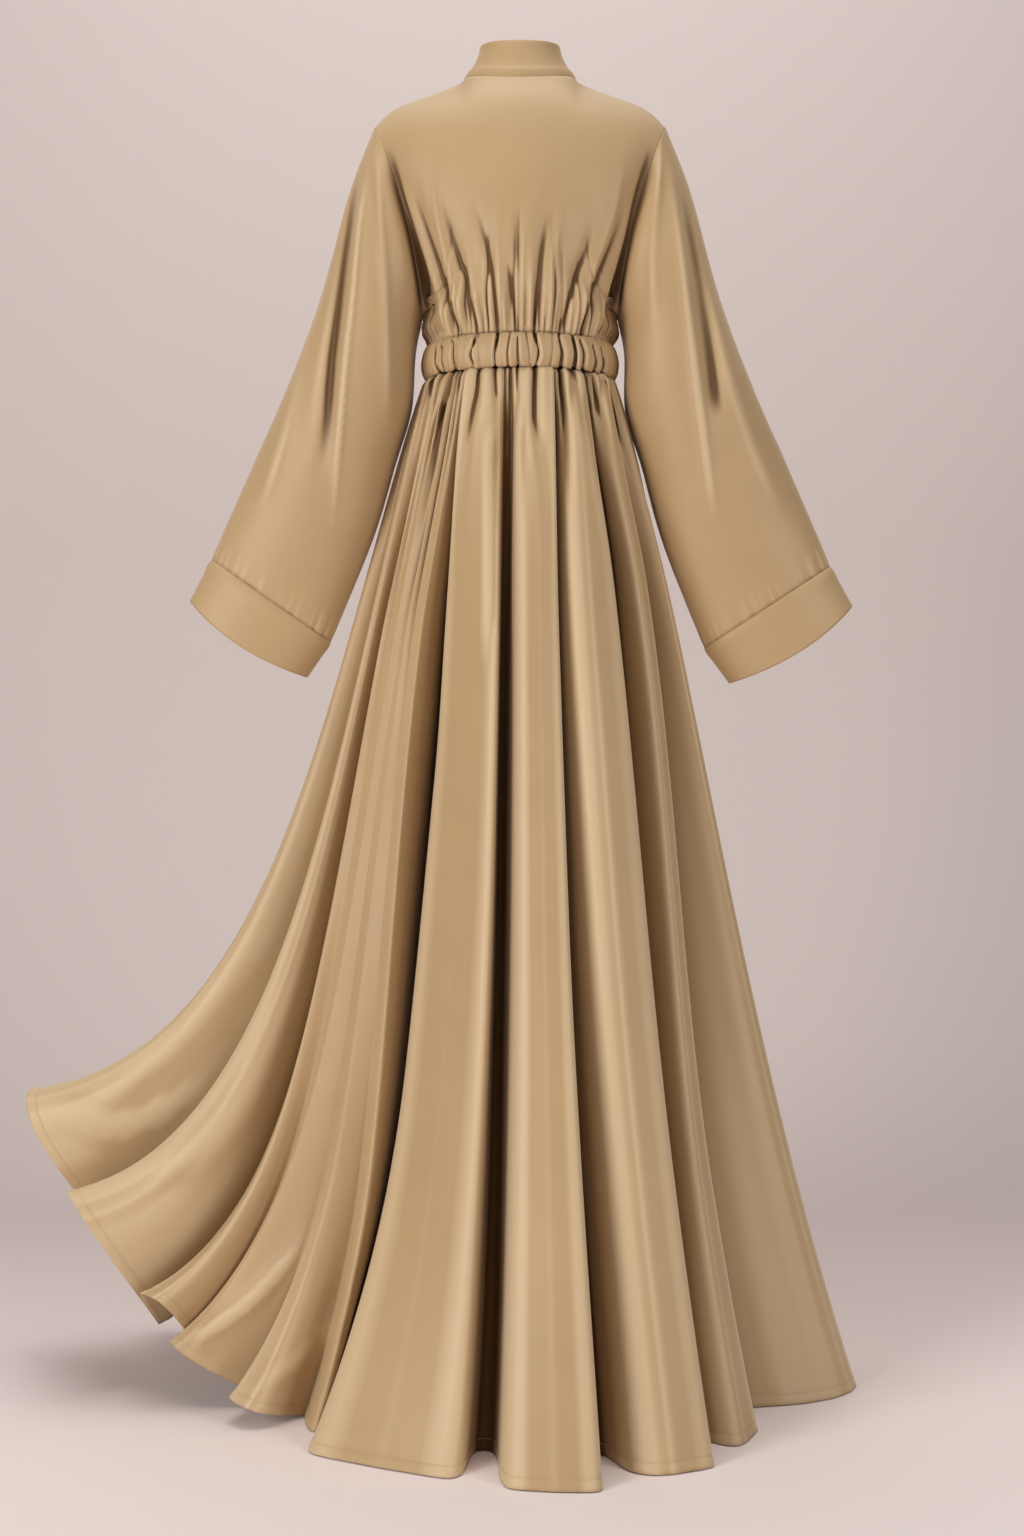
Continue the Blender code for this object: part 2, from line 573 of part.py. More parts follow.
def make_casing(cloth):
    """The puckered casing round the elastic, open at the centre front."""
    half_gap = CENTRE_FRONT_GAP / 2 / WAIST_HALF_WIDTH
    turn = np.linspace(-0.5 * math.pi + half_gap, 1.5 * math.pi - half_gap, CASING_COLUMNS + 1)
    round_share = np.linspace(0.0, 1.0, CASING_COLUMNS + 1)
    pinch = np.abs(np.sin(math.pi * PUCKERS * round_share))
    uneven = 0.8 + 0.2 * np.sin(2 * math.pi * 5.3 * round_share)
    rows = []
    for share in np.linspace(0.0, 1.0, CASING_ROWS + 1):
        bulge = math.sin(math.pi * share) ** 0.7 if 0.0 < share < 1.0 else 0.0
        grow = CASING_BULGE * bulge + (pinch - 0.6) * 0.0035 * uneven
        rows.append(waist_ring(turn, CASING_TOP_Z + (CASING_BOTTOM_Z - CASING_TOP_Z) * share, grow))
    square = {"first": 0, "last": 0, "top": 2, "bottom": 2}
    return cloth_wall("waist_casing", rows, cloth, seams=("top", "bottom"), square=square)


# ---------------------------------------------------------------- skirt
def fold_line(start, end, sweep, share):
    """The way of one ridge or valley from the waist to the hem, a cubic Bezier curve."""
    side_near, side_far = 0.34 - 0.09 * sweep, 0.47 - 0.12 * sweep
    drop_near, drop_far = 0.25 + 0.15 * sweep, 0.60 + 0.35 * sweep
    reach = end - start
    near = start + reach * (side_near, side_near, drop_near)
    far = start + reach * (side_far, side_far, drop_far)
    t = share[:, None]
    return (1 - t) ** 3 * start + 3 * t * (1 - t) ** 2 * near + 3 * t**2 * (1 - t) * far + t**3 * end


def skirt_net():
    """The whole skirt, one ring of columns that begins in the valley before the first fold."""
    folds = len(SKIRT_FOLDS)
    share = np.linspace(0.0, 1.0, SKIRT_ROWS + 1)
    waist_deg = np.unwrap(np.radians([row[1] for row in SKIRT_FOLDS]))
    next_deg = np.append(waist_deg[1:], waist_deg[0] + 2 * math.pi)
    valley_deg = (waist_deg + next_deg) / 2
    floor = -SHOULDER_TO_FLOOR
    ridges = []
    for row, angle in zip(SKIRT_FOLDS, waist_deg):
        waist = waist_ring(np.array([angle]), CASING_BOTTOM_Z, WAIST_FOLD_HEIGHT)[0]
        hem = np.array([row[2], row[3], floor + row[4]])
        ridges.append(fold_line(waist, hem, row[8], share))
    for index in range(PANEL_FIRST + 1, PANEL_LAST):
        part = (index - PANEL_FIRST) / (PANEL_LAST - PANEL_FIRST)
        panel = ridges[PANEL_FIRST] + (ridges[PANEL_LAST] - ridges[PANEL_FIRST]) * part
        own_start, own_end = ridges[index][0] - panel[0], ridges[index][-1] - panel[-1]
        late = share[:, None] ** PANEL_PARTS_LATE
        ridges[index] = panel + own_start * (1 - smooth(share[:, None] / 0.3)) + own_end * late
    valleys = []
    for index, row in enumerate(SKIRT_FOLDS):
        between = (ridges[index] + ridges[(index + 1) % folds]) / 2
        waist = waist_ring(valley_deg[index : index + 1], CASING_BOTTOM_Z, -WAIST_FOLD_HEIGHT)[0]
        start = waist - between[0]
        end = np.array([row[5], row[6], floor + row[7]]) - between[-1]
        deepens = share[:, None] ** row[9]
        valleys.append(between + start * (1 - smooth(share[:, None] / 0.3)) + end * deepens)
    half = np.linspace(0.0, 0.5, FOLD_COLUMNS // 2 + 1)
    across, depth = read_curve(FOLD_PROFILE, half).T
    across = np.concatenate([0.5 - across[::-1], 0.5 + across[1:]])
    depth = np.concatenate([depth[::-1], depth[1:]])
    net = np.zeros((SKIRT_ROWS + 1, folds * FOLD_COLUMNS, 3))
    for index in range(folds):
        before, after, ridge = valleys[index - 1], valleys[index], ridges[index]
        for step in range(FOLD_COLUMNS):
            side = np.sign(step - FOLD_COLUMNS // 2)
            valley = before if side < 0 else after
            straight = ridge * depth[step] + valley * (1 - depth[step])
            bulge = across[step] - 0.5 - side * (1 - depth[step]) / 2
            in_panel = PANEL_FIRST < index + side / 2 < PANEL_LAST
            fullness = share[:, None] ** PANEL_PARTS_LATE if in_panel else 1.0
            net[:, index * FOLD_COLUMNS + step] = straight + (after - before) * bulge * fullness
    outward = unit(net[0] * (1.0, 1.0, 0.0))
    place = np.arange(folds * FOLD_COLUMNS) / FOLD_COLUMNS
    gather = -np.cos(4 * math.pi * place)
    for seam in (LEFT_SEAM_FOLD, RIGHT_SEAM_FOLD, folds):
        gather *= smooth(0.25 + np.abs(place - seam) / 0.6)
    for row in range(SKIRT_ROWS + 1):
        fade = 1.0 - smooth(share[row] / 0.30)
        net[row] += outward * (WAIST_GATHER_HEIGHT * fade * gather)[:, None]
    return net


def make_skirt(cloth):
    """The back and the two fronts, cut from one ring of folds."""
    net = skirt_net()
    count = net.shape[1]
    ring = np.concatenate([net, net, net[:, :1]], axis=1)
    normals = net_normals(ring)
    left_seam = LEFT_SEAM_FOLD * FOLD_COLUMNS + count
    right_seam = RIGHT_SEAM_FOLD * FOLD_COLUMNS
    centre = CENTRE_FRONT_FOLD * FOLD_COLUMNS + FOLD_COLUMNS // 2
    shift = CENTRE_FRONT_GAP / 2
    left, right = normals[:, left_seam], normals[:, right_seam]
    both = ("top", "first", "last")

    pieces = (
        # name, first and last column, edges at seams, rims shared at the side seams, centre front
        ("skirt_back", left_seam, right_seam + count, both, {"first": left, "last": right}, {}),
        ("skirt_front_right", right_seam, centre, ("top", "first"), {"first": right}, {"last": 0}),
        ("skirt_front_left", centre, left_seam, ("top", "last"), {"last": left}, {"first": 0}),
    )
    for name, first, last, seams, lean, square in pieces:
        piece = ring[:, first : last + 1].copy()
        if "last" in square:
            piece[:, -1, 0] -= shift
        if "first" in square:
            piece[:, 0, 0] += shift
        cloth_wall(name, piece, cloth, seams=seams, lean=lean, square={**square, "top": 2})


# ---------------------------------------------------------------- the garment
def main():
    for old in list(bpy.data.objects):
        bpy.data.objects.remove(old, do_unlink=True)
    crepe = material("camel_crepe", CAMEL)
    faced = material("camel_crepe_faced", CAMEL_FACED)
    make_collar(faced)
    make_bodice(crepe)
    for side in ("left", "right"):
        make_sleeve(side, crepe, faced)
    make_casing(crepe)
    make_skirt(crepe)


main()
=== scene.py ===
# %% [markdown]
# # Dressing an abaya cloak
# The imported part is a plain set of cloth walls. This lesson replaces each wall with a finer shell of
# the same form, presses gathers and soft creases into it, sews it, gives it a crepe material, and
# lights it in a small studio. Every length is in metres unless its name or a note says mm.

import math
from collections import namedtuple

import bmesh
import bpy
import numpy as np
from mathutils import Matrix, Vector


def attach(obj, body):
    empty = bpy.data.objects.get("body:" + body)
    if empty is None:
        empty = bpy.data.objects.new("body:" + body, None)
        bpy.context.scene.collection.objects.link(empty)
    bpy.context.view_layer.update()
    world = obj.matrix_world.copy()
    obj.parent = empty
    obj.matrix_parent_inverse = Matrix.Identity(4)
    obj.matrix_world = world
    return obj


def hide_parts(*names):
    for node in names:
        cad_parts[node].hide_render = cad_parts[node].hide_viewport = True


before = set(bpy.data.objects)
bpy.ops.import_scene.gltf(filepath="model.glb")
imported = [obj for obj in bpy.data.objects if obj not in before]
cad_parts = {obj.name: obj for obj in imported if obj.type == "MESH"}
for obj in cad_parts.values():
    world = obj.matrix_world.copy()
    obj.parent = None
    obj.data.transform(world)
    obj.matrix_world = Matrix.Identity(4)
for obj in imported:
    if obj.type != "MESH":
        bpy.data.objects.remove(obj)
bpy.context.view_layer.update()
print("CAD nodes:", sorted(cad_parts))

# %% [markdown]
# ## Sizes of the garment
# These are the sizes that the solids were cut from. They could be measured on the solids' meshes, but
# a shell that is worked out from the same few sizes lies in the space of its solid and stays smooth.
# The front faces -Y and the back +Y. The wearer's left side, with the lifted train, is at +X.

# %% Sizes shared by several pieces
SHOULDER_TO_FLOOR = 1.5275
CLOTH = 0.0011                 # what the shells are thick
FACED_CLOTH = 0.0020           # and what the doubled collar and cuffs are
NECK_HALF_WIDTH = 0.0665
NECK_BACK, NECK_FRONT = 0.055, 0.082
NECK_SIDE_Z, NECK_BACK_DROP, NECK_FRONT_DROP = -0.003, 0.0113, 0.069
SHOULDER_HALF_WIDTH, SHOULDER_TIP_Z = 0.170, -0.060
UNDERARM_X, UNDERARM_Z = 0.1135, -0.279
ARMHOLE_DEPTH, ARMHOLE_BOW = 0.072, 0.008
WAIST_HALF_WIDTH, WAIST_HALF_DEPTH = 0.1075, 0.0925
CASING_TOP_Z, CASING_BOTTOM_Z = -0.316, -0.3545
CENTRE_FRONT_GAP = 0.0006
SEAM_GAP = 0.0002
MIRROR_X = (-1.0, 1.0, 1.0)
print(f"shoulder to floor {SHOULDER_TO_FLOOR} m, half waist {WAIST_HALF_WIDTH} m")

# %% [markdown]
# ## Curves and nets
# Cloth that is gathered and hung has no flat faces, so it could be sculpted or simulated. Here each
# piece is a net instead: a grid of points whose rows run down and whose columns run counterclockwise
# seen from above. Its lines are read from short tables with a cubic that passes through each row, so
# a fold is changed by changing one number.


# %% Shares and curves
def unit(vectors):
    """Vectors of length 1, along the last axis."""
    return vectors / np.maximum(np.linalg.norm(vectors, axis=-1, keepdims=True), 1e-9)


def smooth(share):
    """0 to 1 with level ends."""
    share = np.clip(share, 0.0, 1.0)
    return share * share * (3.0 - 2.0 * share)


def read_curve(table, share):
    """A smooth curve through the rows of a table whose first column is the share along it."""
    rows = np.array(table, float)
    knots, values = rows[:, 0], rows[:, 1:]
    slopes = np.gradient(values, knots, axis=0)
    share = np.clip(np.atleast_1d(share), knots[0], knots[-1])
    k = np.clip(np.searchsorted(knots, share, side="right") - 1, 0, len(knots) - 2)
    span = (knots[k + 1] - knots[k])[:, None]
    t = (share - knots[k])[:, None] / span
    return (
        (2 * t**3 - 3 * t**2 + 1) * values[k]
        + (t**3 - 2 * t**2 + t) * span * slopes[k]
        + (3 * t**2 - 2 * t**3) * values[k + 1]
        + (t**3 - t**2) * span * slopes[k + 1]
    )


# %% Nets and places round them
def net_normals(net, ring=False):
    """Outward normals of a net of points."""
    down = np.gradient(net, axis=0)
    if ring:
        wide = np.concatenate([net[:, -2:-1], net, net[:, 1:2]], axis=1)
        along = (wide[:, 2:] - wide[:, :-2]) / 2
    else:
        along = np.gradient(net, axis=1)
    return unit(np.cross(down, along))


def net_area(net):
    """The area of a net of points."""
    a = net[1:, :-1] - net[:-1, :-1]
    b = net[:-1, 1:] - net[:-1, :-1]
    return float(np.linalg.norm(np.cross(a, b), axis=-1).sum())


def uneven_places(count, spread, seed):
    """Places round a ring, from 0 to 1, with uneven steps between them."""
    pick = np.random.default_rng(seed)
    steps = 1.0 + spread * (pick.random(count) - 0.5) * 2
    return np.cumsum(steps) / steps.sum()


def pinch_profile(round_share, places, sizes, half_width):
    """Dips at places on a ring, each with its own size."""
    gap = np.abs(round_share[:, None] - places[None, :])
    gap = np.minimum(gap, 1.0 - gap)
    return (sizes * np.exp(-((gap / half_width) ** 2))).sum(axis=1)


# %% [markdown]
# ## Creases drawn as they are seen
# A real crease is a soft trough or ridge that starts at a seam and fades out. It could be painted as
# a bump, but then the cloth's own surface would stay flat. Here it is drawn as a short line on the
# garment's mid plane, the way someone behind it (or in front of it) sees it. Each point of a net is
# looked up on that plane, and its distance from the line says how far the cloth rises or sinks there.
# A row holds the height, the half widths at the start and at the end, and a few points (x, z) of the
# line, all in millimetres.

# %% Press creases into a net
CAMERA_X, CAMERA_DISTANCE, CAMERA_HEIGHT = 0.0094, 2.5, 0.72
CREASE_STEPS = 14


def seen_flat(net, side):
    """Where a net's points appear on the mid plane, seen from behind (side 1) or in front (-1)."""
    eye = np.array((CAMERA_X, CAMERA_DISTANCE * side, CAMERA_HEIGHT - SHOULDER_TO_FLOOR))
    shrink = CAMERA_DISTANCE / (CAMERA_DISTANCE - net[..., 1] * side)
    return (net[..., ::2] - eye[::2]) * shrink[..., None] + eye[::2], unit(eye - net)


def crease_heights(net, normals, creases, side, fades=(0.35, 0.0)):
    """How far the creases lift each point of a net.

    fades says over what share of its length a crease comes in at its start and goes out at its end.
    With no normals, a crease takes hold on the whole half of the net that lies on its side.
    """
    flat, to_eye = seen_flat(net, side)
    if normals is None:
        facing = smooth((net[..., 1] * side + 0.02) / 0.04)
    else:
        facing = smooth(np.sum(normals * to_eye, axis=-1) * 3.0)
    lift = np.zeros(net.shape[:2])
    for height, width_start, width_end, points in creases:
        steps = np.linspace(0.0, 1.0, CREASE_STEPS)
        knots = np.linspace(0.0, 1.0, len(points))
        line = read_curve(np.column_stack([knots, 0.001 * np.array(points)]), steps)
        nearest = np.full(net.shape[:2], 9.0)
        place = np.zeros(net.shape[:2])
        for index in range(CREASE_STEPS - 1):
            start, run = line[index], line[index + 1] - line[index]
            share = np.clip(((flat - start) @ run) / (run @ run), 0.0, 1.0)
            gap = np.linalg.norm(flat - start - share[..., None] * run, axis=-1)
            closer = gap < nearest
            nearest[closer] = gap[closer]
            place[closer] = (index + share[closer]) / (CREASE_STEPS - 1)
        half_width = 0.001 * (width_start + (width_end - width_start) * place)
        fade = np.ones_like(place)
        if fades[0] > 0.0:
            fade *= smooth(place / fades[0])
        if fades[1] > 0.0:
            fade *= smooth((1.0 - place) / fades[1])
        lift += 0.001 * height * fade * np.exp(-((nearest / half_width) ** 2))
    return lift * facing


def mirrored(creases, shift=0):
    """The same creases on the garment's other half, moved to the left by a few millimetres."""
    turned = []
    for height, width_start, width_end, points in creases:
        turned.append((height, width_start, width_end, tuple((-x + shift, z) for x, z in points)))
    return tuple(turned)


# %% [markdown]
# ## Which points are crests and which are valleys
# Deep folds of crepe hold their own shade, and the nap catches the light on sharp edges. The soft
# lights of the studio wash some of that out, so shade and highlights are painted into the colour. Each
# point is compared with the mean of its neighbours on both sides along its row: a wide window tells
# valleys from crests and a narrow one finds sharp edges. The material paints a little shade into the
# first and a highlight onto the second.

# %% Relief and edge of each point
EDGE_REACH, EDGE_HEIGHT = 2, 0.0008
FINE_REACH, FINE_HEIGHT = 4, 0.0014


def above_neighbours(net, reach, ring):
    """How far each point stands above the mean of its row, reach columns to either side."""
    if ring:
        padded = np.concatenate([net[:, -reach - 1 : -1], net, net[:, 1 : reach + 1]], axis=1)
    else:
        before = 2 * net[:, :1] - net[:, reach:0:-1]
        after = 2 * net[:, -1:] - net[:, -2 : -reach - 2 : -1]
        padded = np.concatenate([before, net, after], axis=1)
    sums = np.cumsum(np.concatenate([np.zeros_like(padded[:, :1]), padded], axis=1), axis=1)
    window = 2 * reach + 1
    mean = (sums[:, window:] - sums[:, :-window]) / window
    return np.sum((net - mean) * net_normals(net, ring), axis=-1)


def cloth_relief(net, reach, depth, ring=False, fine=0.0):
    """The relief (-1 in a valley, 1 on a crest) and the edge (0 to 1) of each point.

    fine says how much small gathers count beside the wide folds.
    """
    relief = np.clip(above_neighbours(net, reach, ring) / depth, -1.0, 1.0)
    small = np.clip(above_neighbours(net, FINE_REACH, ring) / FINE_HEIGHT, -1.0, 1.0)
    edge = np.clip(above_neighbours(net, EDGE_REACH, ring) / EDGE_HEIGHT, 0.0, 1.0)
    return relief + fine * small, edge


# %% [markdown]
# ## From a net to a shell of cloth
# A cut piece of cloth starts flat. `bmesh.ops.create_grid` makes that flat sheet, and its points then
# move onto the net. It could be built face by face, but the operator already knows how a grid joins.
# UV coordinates hold the sheet's own length and width, so that a weave lies straight on it, and two
# attributes hold its relief and its edges, which the material paints with shade and highlights. A
# Solidify modifier gives it the thickness of the cloth.


# %% Meshes and objects
def finished_mesh(name, bm, material):
    """Turn a bmesh into a mesh of one material."""
    mesh = bpy.data.meshes.new(name)
    bm.to_mesh(mesh)
    bm.free()
    mesh.materials.append(material)
    return mesh


def place_object(name, data):
    """Put a new object into the scene, at the origin."""
    made = bpy.data.objects.new(name, data)
    bpy.context.scene.collection.objects.link(made)
    return made


# %% A shell of cloth
def cloth_shell(name, net, cloth, ring=False, thickness=CLOTH, relief=None):
    """A thin shell of cloth on a net of points. relief holds the relief and the edge of each point."""
    rows, columns = net.shape[:2]
    bm = bmesh.new()
    bmesh.ops.create_grid(bm, x_segments=columns - 1, y_segments=rows - 1, size=0.5)
    bm.verts.ensure_lookup_table()
    flat = np.array([v.co[:2] for v in bm.verts])
    column = np.rint((flat[:, 0] + 0.5) * (columns - 1)).astype(int)
    row = np.rint((0.5 - flat[:, 1]) * (rows - 1)).astype(int)
    widths = np.linalg.norm(np.diff(net, axis=1), axis=-1).mean(axis=0)
    lengths = np.linalg.norm(np.diff(net, axis=0), axis=-1).mean(axis=1)
    u = np.concatenate([[0.0], np.cumsum(widths)])
    v = -np.concatenate([[0.0], np.cumsum(lengths)])
    layer = bm.loops.layers.uv.new("cloth")
    for face in bm.faces:
        for loop in face.loops:
            index = loop.vert.index
            loop[layer].uv = (u[column[index]], v[row[index]])
    marks = [bm.verts.layers.float.new(mark) for mark in ("relief", "edge")]
    for vert in bm.verts:
        spot = (row[vert.index], column[vert.index])
        vert.co = net[spot]
        if relief is not None:
            for mark, values in zip(marks, relief):
                vert[mark] = values[spot]
    if ring:
        bmesh.ops.remove_doubles(bm, verts=bm.verts[:], dist=0.00001)
    face_outward(bm, net, ring)
    mesh = finished_mesh(name, bm, cloth)
    mesh.shade_smooth()
    shell = place_object(name, mesh)
    wall = shell.modifiers.new("thickness", "SOLIDIFY")
    wall.thickness = thickness
    wall.offset = 0.0
    wall.use_even_offset = False
    print(f"{name}: {rows} x {columns} points, {net_area(net):.3f} square metres")
    return shell


def face_outward(bm, net, ring):
    """Turn a sheet's faces to the side that the net's normals point to."""
    bmesh.ops.recalc_face_normals(bm, faces=bm.faces[:])
    bm.faces.ensure_lookup_table()
    middle = bm.faces[len(bm.faces) // 2]
    gaps = np.linalg.norm(net.reshape(-1, 3) - np.array(middle.calc_center_median()), axis=1)
    outward = net_normals(net, ring).reshape(-1, 3)[np.argmin(gaps)]
    if middle.normal.dot(Vector(outward)) < 0.0:
        bmesh.ops.reverse_faces(bm, faces=bm.faces[:])


def dress(shell, node):
    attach(shell, "root")
    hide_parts(node)


# %% [markdown]
# ## Stitches
# A row of stitches holds each hem and the casing of the waist. It could be a dashed line in the
# material, but thread stands up from the cloth and catches the light. So each stitch is a short rod
# with six sides, laid along a line on the net and half sunk into the cloth.

# %% Sew along a line
STITCH_LENGTH, STITCH_GAP, THREAD_RADIUS = 0.0034, 0.0014, 0.00032


def line_on_net(net, outward, distance):
    """The line on a net at a distance from its last row, and its outward directions."""
    up, outward = net[::-1], outward[::-1]
    run = np.cumsum(np.linalg.norm(np.diff(up, axis=0), axis=-1), axis=0)
    run = np.concatenate([np.zeros_like(run[:1]), run])
    row = np.argmax(run >= distance, axis=0)
    column = np.arange(net.shape[1])
    before, after = run[row - 1, column], run[row, column]
    share = ((distance - before) / (after - before))[:, None]
    line = up[row - 1, column] * (1 - share) + up[row, column] * share
    return line, unit(outward[row - 1, column] * (1 - share) + outward[row, column] * share)


def read_line(values, run, place):
    """The point or the direction at a distance along a line."""
    return Vector([np.interp(place, run, values[:, k]) for k in range(3)])


def sew(name, lines, rise):
    """A run of stitches along each line, half sunk into the cloth."""
    bm = bmesh.new()
    count = 0
    for line, outward in lines:
        run = np.concatenate([[0.0], np.cumsum(np.linalg.norm(np.diff(line, axis=0), axis=-1))])
        for start in np.arange(STITCH_GAP, run[-1] - STITCH_LENGTH, STITCH_LENGTH + STITCH_GAP):
            ends = [read_line(line, run, place) for place in (start, start + STITCH_LENGTH)]
            up = read_line(outward, run, start).normalized()
            along = (ends[1] - ends[0]).normalized()
            side = up.cross(along).normalized()
            turn = Matrix((side, along.cross(side), along)).transposed().to_4x4()
            middle = (ends[0] + ends[1]) / 2 + up * rise
            bmesh.ops.create_cone(
                bm,
                cap_ends=True,
                segments=6,
                radius1=THREAD_RADIUS,
                radius2=THREAD_RADIUS,
                depth=STITCH_LENGTH,
                matrix=Matrix.Translation(middle) @ turn,
            )
            count += 1
    stitches = place_object(name, finished_mesh(name, bm, thread))
    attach(stitches, "root")
    print(f"{name}: {count} stitches")
    return stitches


# %% [markdown]
# ## The crepe
# Crepe is matt, with a fine pebbled grain, and its nap gives it a soft sheen. A picture of cloth
# could be wrapped round it, but a grain that is worked out has no edges and no size of its own. One
# node group holds the colour, the roughness and the bump; its colour has painted shade in the valleys
# of the folds and painted highlights on their sharp edges. It reads the sheet's own UV coordinates for
# the grain and Object coordinates for the slow, cloudy changes in tone.

# %% Colours and a helper for nodes
CREPE_LIGHT = (0.520, 0.357, 0.188, 1.0)
CREPE_DARK = (0.450, 0.303, 0.156, 1.0)
# The next two colours are painted light: shade for the valleys and a highlight for sharp edges.
PAINTED_VALLEY_SHADE = (0.25, 0.175, 0.075, 1.0)
PAINTED_EDGE_HIGHLIGHT = (0.700, 0.545, 0.340, 1.0)
GRAIN_PER_METRE = 900.0
FIRST_COLOUR, SECOND_COLOUR, MIXED = 6, 7, 2      # sockets of a Mix node that mixes colours


def add_node(nodes, kind, inputs=None, **settings):
    """A shader node with its settings and the values of its inputs."""
    node = nodes.new("ShaderNode" + kind)
    for setting, value in settings.items():
        setattr(node, setting, value)
    for socket, value in (inputs or {}).items():
        node.inputs[socket].default_value = value
    return node


# %% The crepe's node group
def crepe_group():
    """A node group with the crepe's colour, which holds painted shade and painted highlights, its roughness
    and normal.
    """
    group = bpy.data.node_groups.new("Crepe", "ShaderNodeTree")
    for name, kind in (("Color", "Color"), ("Roughness", "Float"), ("Normal", "Vector")):
        group.interface.new_socket(name, in_out="OUTPUT", socket_type="NodeSocket" + kind)
    scale = group.interface.new_socket("Grain per metre", in_out="INPUT", socket_type="NodeSocketFloat")
    scale.default_value = GRAIN_PER_METRE
    nodes, link = group.nodes, group.links.new
    inputs, out = nodes.new("NodeGroupInput"), nodes.new("NodeGroupOutput")
    place = add_node(nodes, "TexCoord")

    clouds = add_node(nodes, "TexNoise", {"Scale": 9.0, "Detail": 3.0})
    link(place.outputs["Object"], clouds.inputs["Vector"])
    tone = add_node(nodes, "Mix", {FIRST_COLOUR: CREPE_DARK, SECOND_COLOUR: CREPE_LIGHT}, data_type="RGBA")
    link(clouds.outputs["Fac"], tone.inputs["Factor"])

    # Painted shade: the valleys of the relief are multiplied towards a dark brown.
    relief = add_node(nodes, "Attribute", attribute_name="relief")
    from_to = {"From Min": -0.05, "From Max": -0.80}
    valley = add_node(nodes, "MapRange", from_to, interpolation_type="SMOOTHSTEP")
    link(relief.outputs["Fac"], valley.inputs["Value"])
    shade = add_node(nodes, "Mix", {SECOND_COLOUR: PAINTED_VALLEY_SHADE}, data_type="RGBA", blend_type="MULTIPLY")
    link(valley.outputs["Result"], shade.inputs["Factor"])
    link(tone.outputs[MIXED], shade.inputs[FIRST_COLOUR])

    # Painted highlight: sharp edges are mixed towards a light camel.
    edge = add_node(nodes, "Attribute", attribute_name="edge")
    bright = add_node(nodes, "MapRange", {"From Min": 0.15, "To Max": 0.60})
    link(edge.outputs["Fac"], bright.inputs["Value"])
    lit = add_node(nodes, "Mix", {SECOND_COLOUR: PAINTED_EDGE_HIGHLIGHT}, data_type="RGBA")
    link(bright.outputs["Result"], lit.inputs["Factor"])
    link(shade.outputs[MIXED], lit.inputs[FIRST_COLOUR])
    link(lit.outputs[MIXED], out.inputs["Color"])

    grain = add_node(nodes, "TexNoise", {"Detail": 2.0})
    link(place.outputs["UV"], grain.inputs["Vector"])
    link(inputs.outputs["Grain per metre"], grain.inputs["Scale"])
    matt = add_node(nodes, "MapRange", {"To Min": 0.46, "To Max": 0.58})
    link(grain.outputs["Fac"], matt.inputs["Value"])
    link(matt.outputs["Result"], out.inputs["Roughness"])

    bump = add_node(nodes, "Bump", {"Strength": 0.18, "Distance": 0.0004})
    link(grain.outputs["Fac"], bump.inputs["Height"])
    link(bump.outputs["Normal"], out.inputs["Normal"])
    return group


# %% Materials of the cloth and the thread
def new_material(name, inputs):
    """A material with the values of its Principled shader's inputs, and its nodes, links and shader."""
    made = bpy.data.materials.new(name)
    made.use_nodes = True
    shader = made.node_tree.nodes["Principled BSDF"]
    for socket, value in inputs.items():
        shader.inputs[socket].default_value = value
    return made, made.node_tree.nodes, made.node_tree.links.new, shader


def crepe_material(name, group, sheen):
    """A Principled material that wears the crepe group."""
    nap = {"Sheen Weight": sheen, "Sheen Roughness": 0.35, "Sheen Tint": (1.0, 0.92, 0.80, 1.0)}
    made, nodes, link, shader = new_material(name, {"Specular IOR Level": 0.42, **nap})
    wear = add_node(nodes, "Group", node_tree=group)
    link(wear.outputs["Color"], shader.inputs["Base Color"])
    link(wear.outputs["Roughness"], shader.inputs["Roughness"])
    link(wear.outputs["Normal"], shader.inputs["Normal"])
    return made


crepe_nodes = crepe_group()
crepe = crepe_material("camel crepe", crepe_nodes, 0.25)
faced = crepe_material("camel crepe faced", crepe_nodes, 0.20)
thread = crepe_material("camel thread", crepe_nodes, 0.05)
print("materials:", [material.name for material in (crepe, faced, thread)])

# %% [markdown]
# ## Collar
# A low stand collar, cut double and a little stiff. The neckline is a ring that drops in front. The
# collar could be that ring pulled straight up, but a real one leans in as it rises and has a soft
# roll just above its seam, so its rows are worked out between two rings.

# %% Rings round the neck
COLLAR_TOP_HALF_WIDTH = 0.0465
COLLAR_TOP_BACK, COLLAR_TOP_FRONT = 0.046, 0.060
COLLAR_TOP_SIDE_Z, COLLAR_TOP_BACK_DROP, COLLAR_TOP_FRONT_DROP = 0.035, 0.005, 0.057


def neck_ring(turn, half_width, back, front, side_z, back_drop, front_drop):
    """A ring round the neck. Turn runs counterclockwise from +X."""
    sine = np.sin(turn)
    behind = np.clip(sine, 0.0, None)
    ahead = np.clip(-sine, 0.0, None)
    x = half_width * np.cos(turn)
    y = back * behind - front * ahead
    z = side_z - back_drop * behind**2 - front_drop * ahead**1.5
    return np.stack([x, y, z], axis=-1)


def neckline(turn):
    """The seam between the bodice and the collar."""
    return neck_ring(
        turn, NECK_HALF_WIDTH, NECK_BACK, NECK_FRONT, NECK_SIDE_Z, NECK_BACK_DROP, NECK_FRONT_DROP
    )


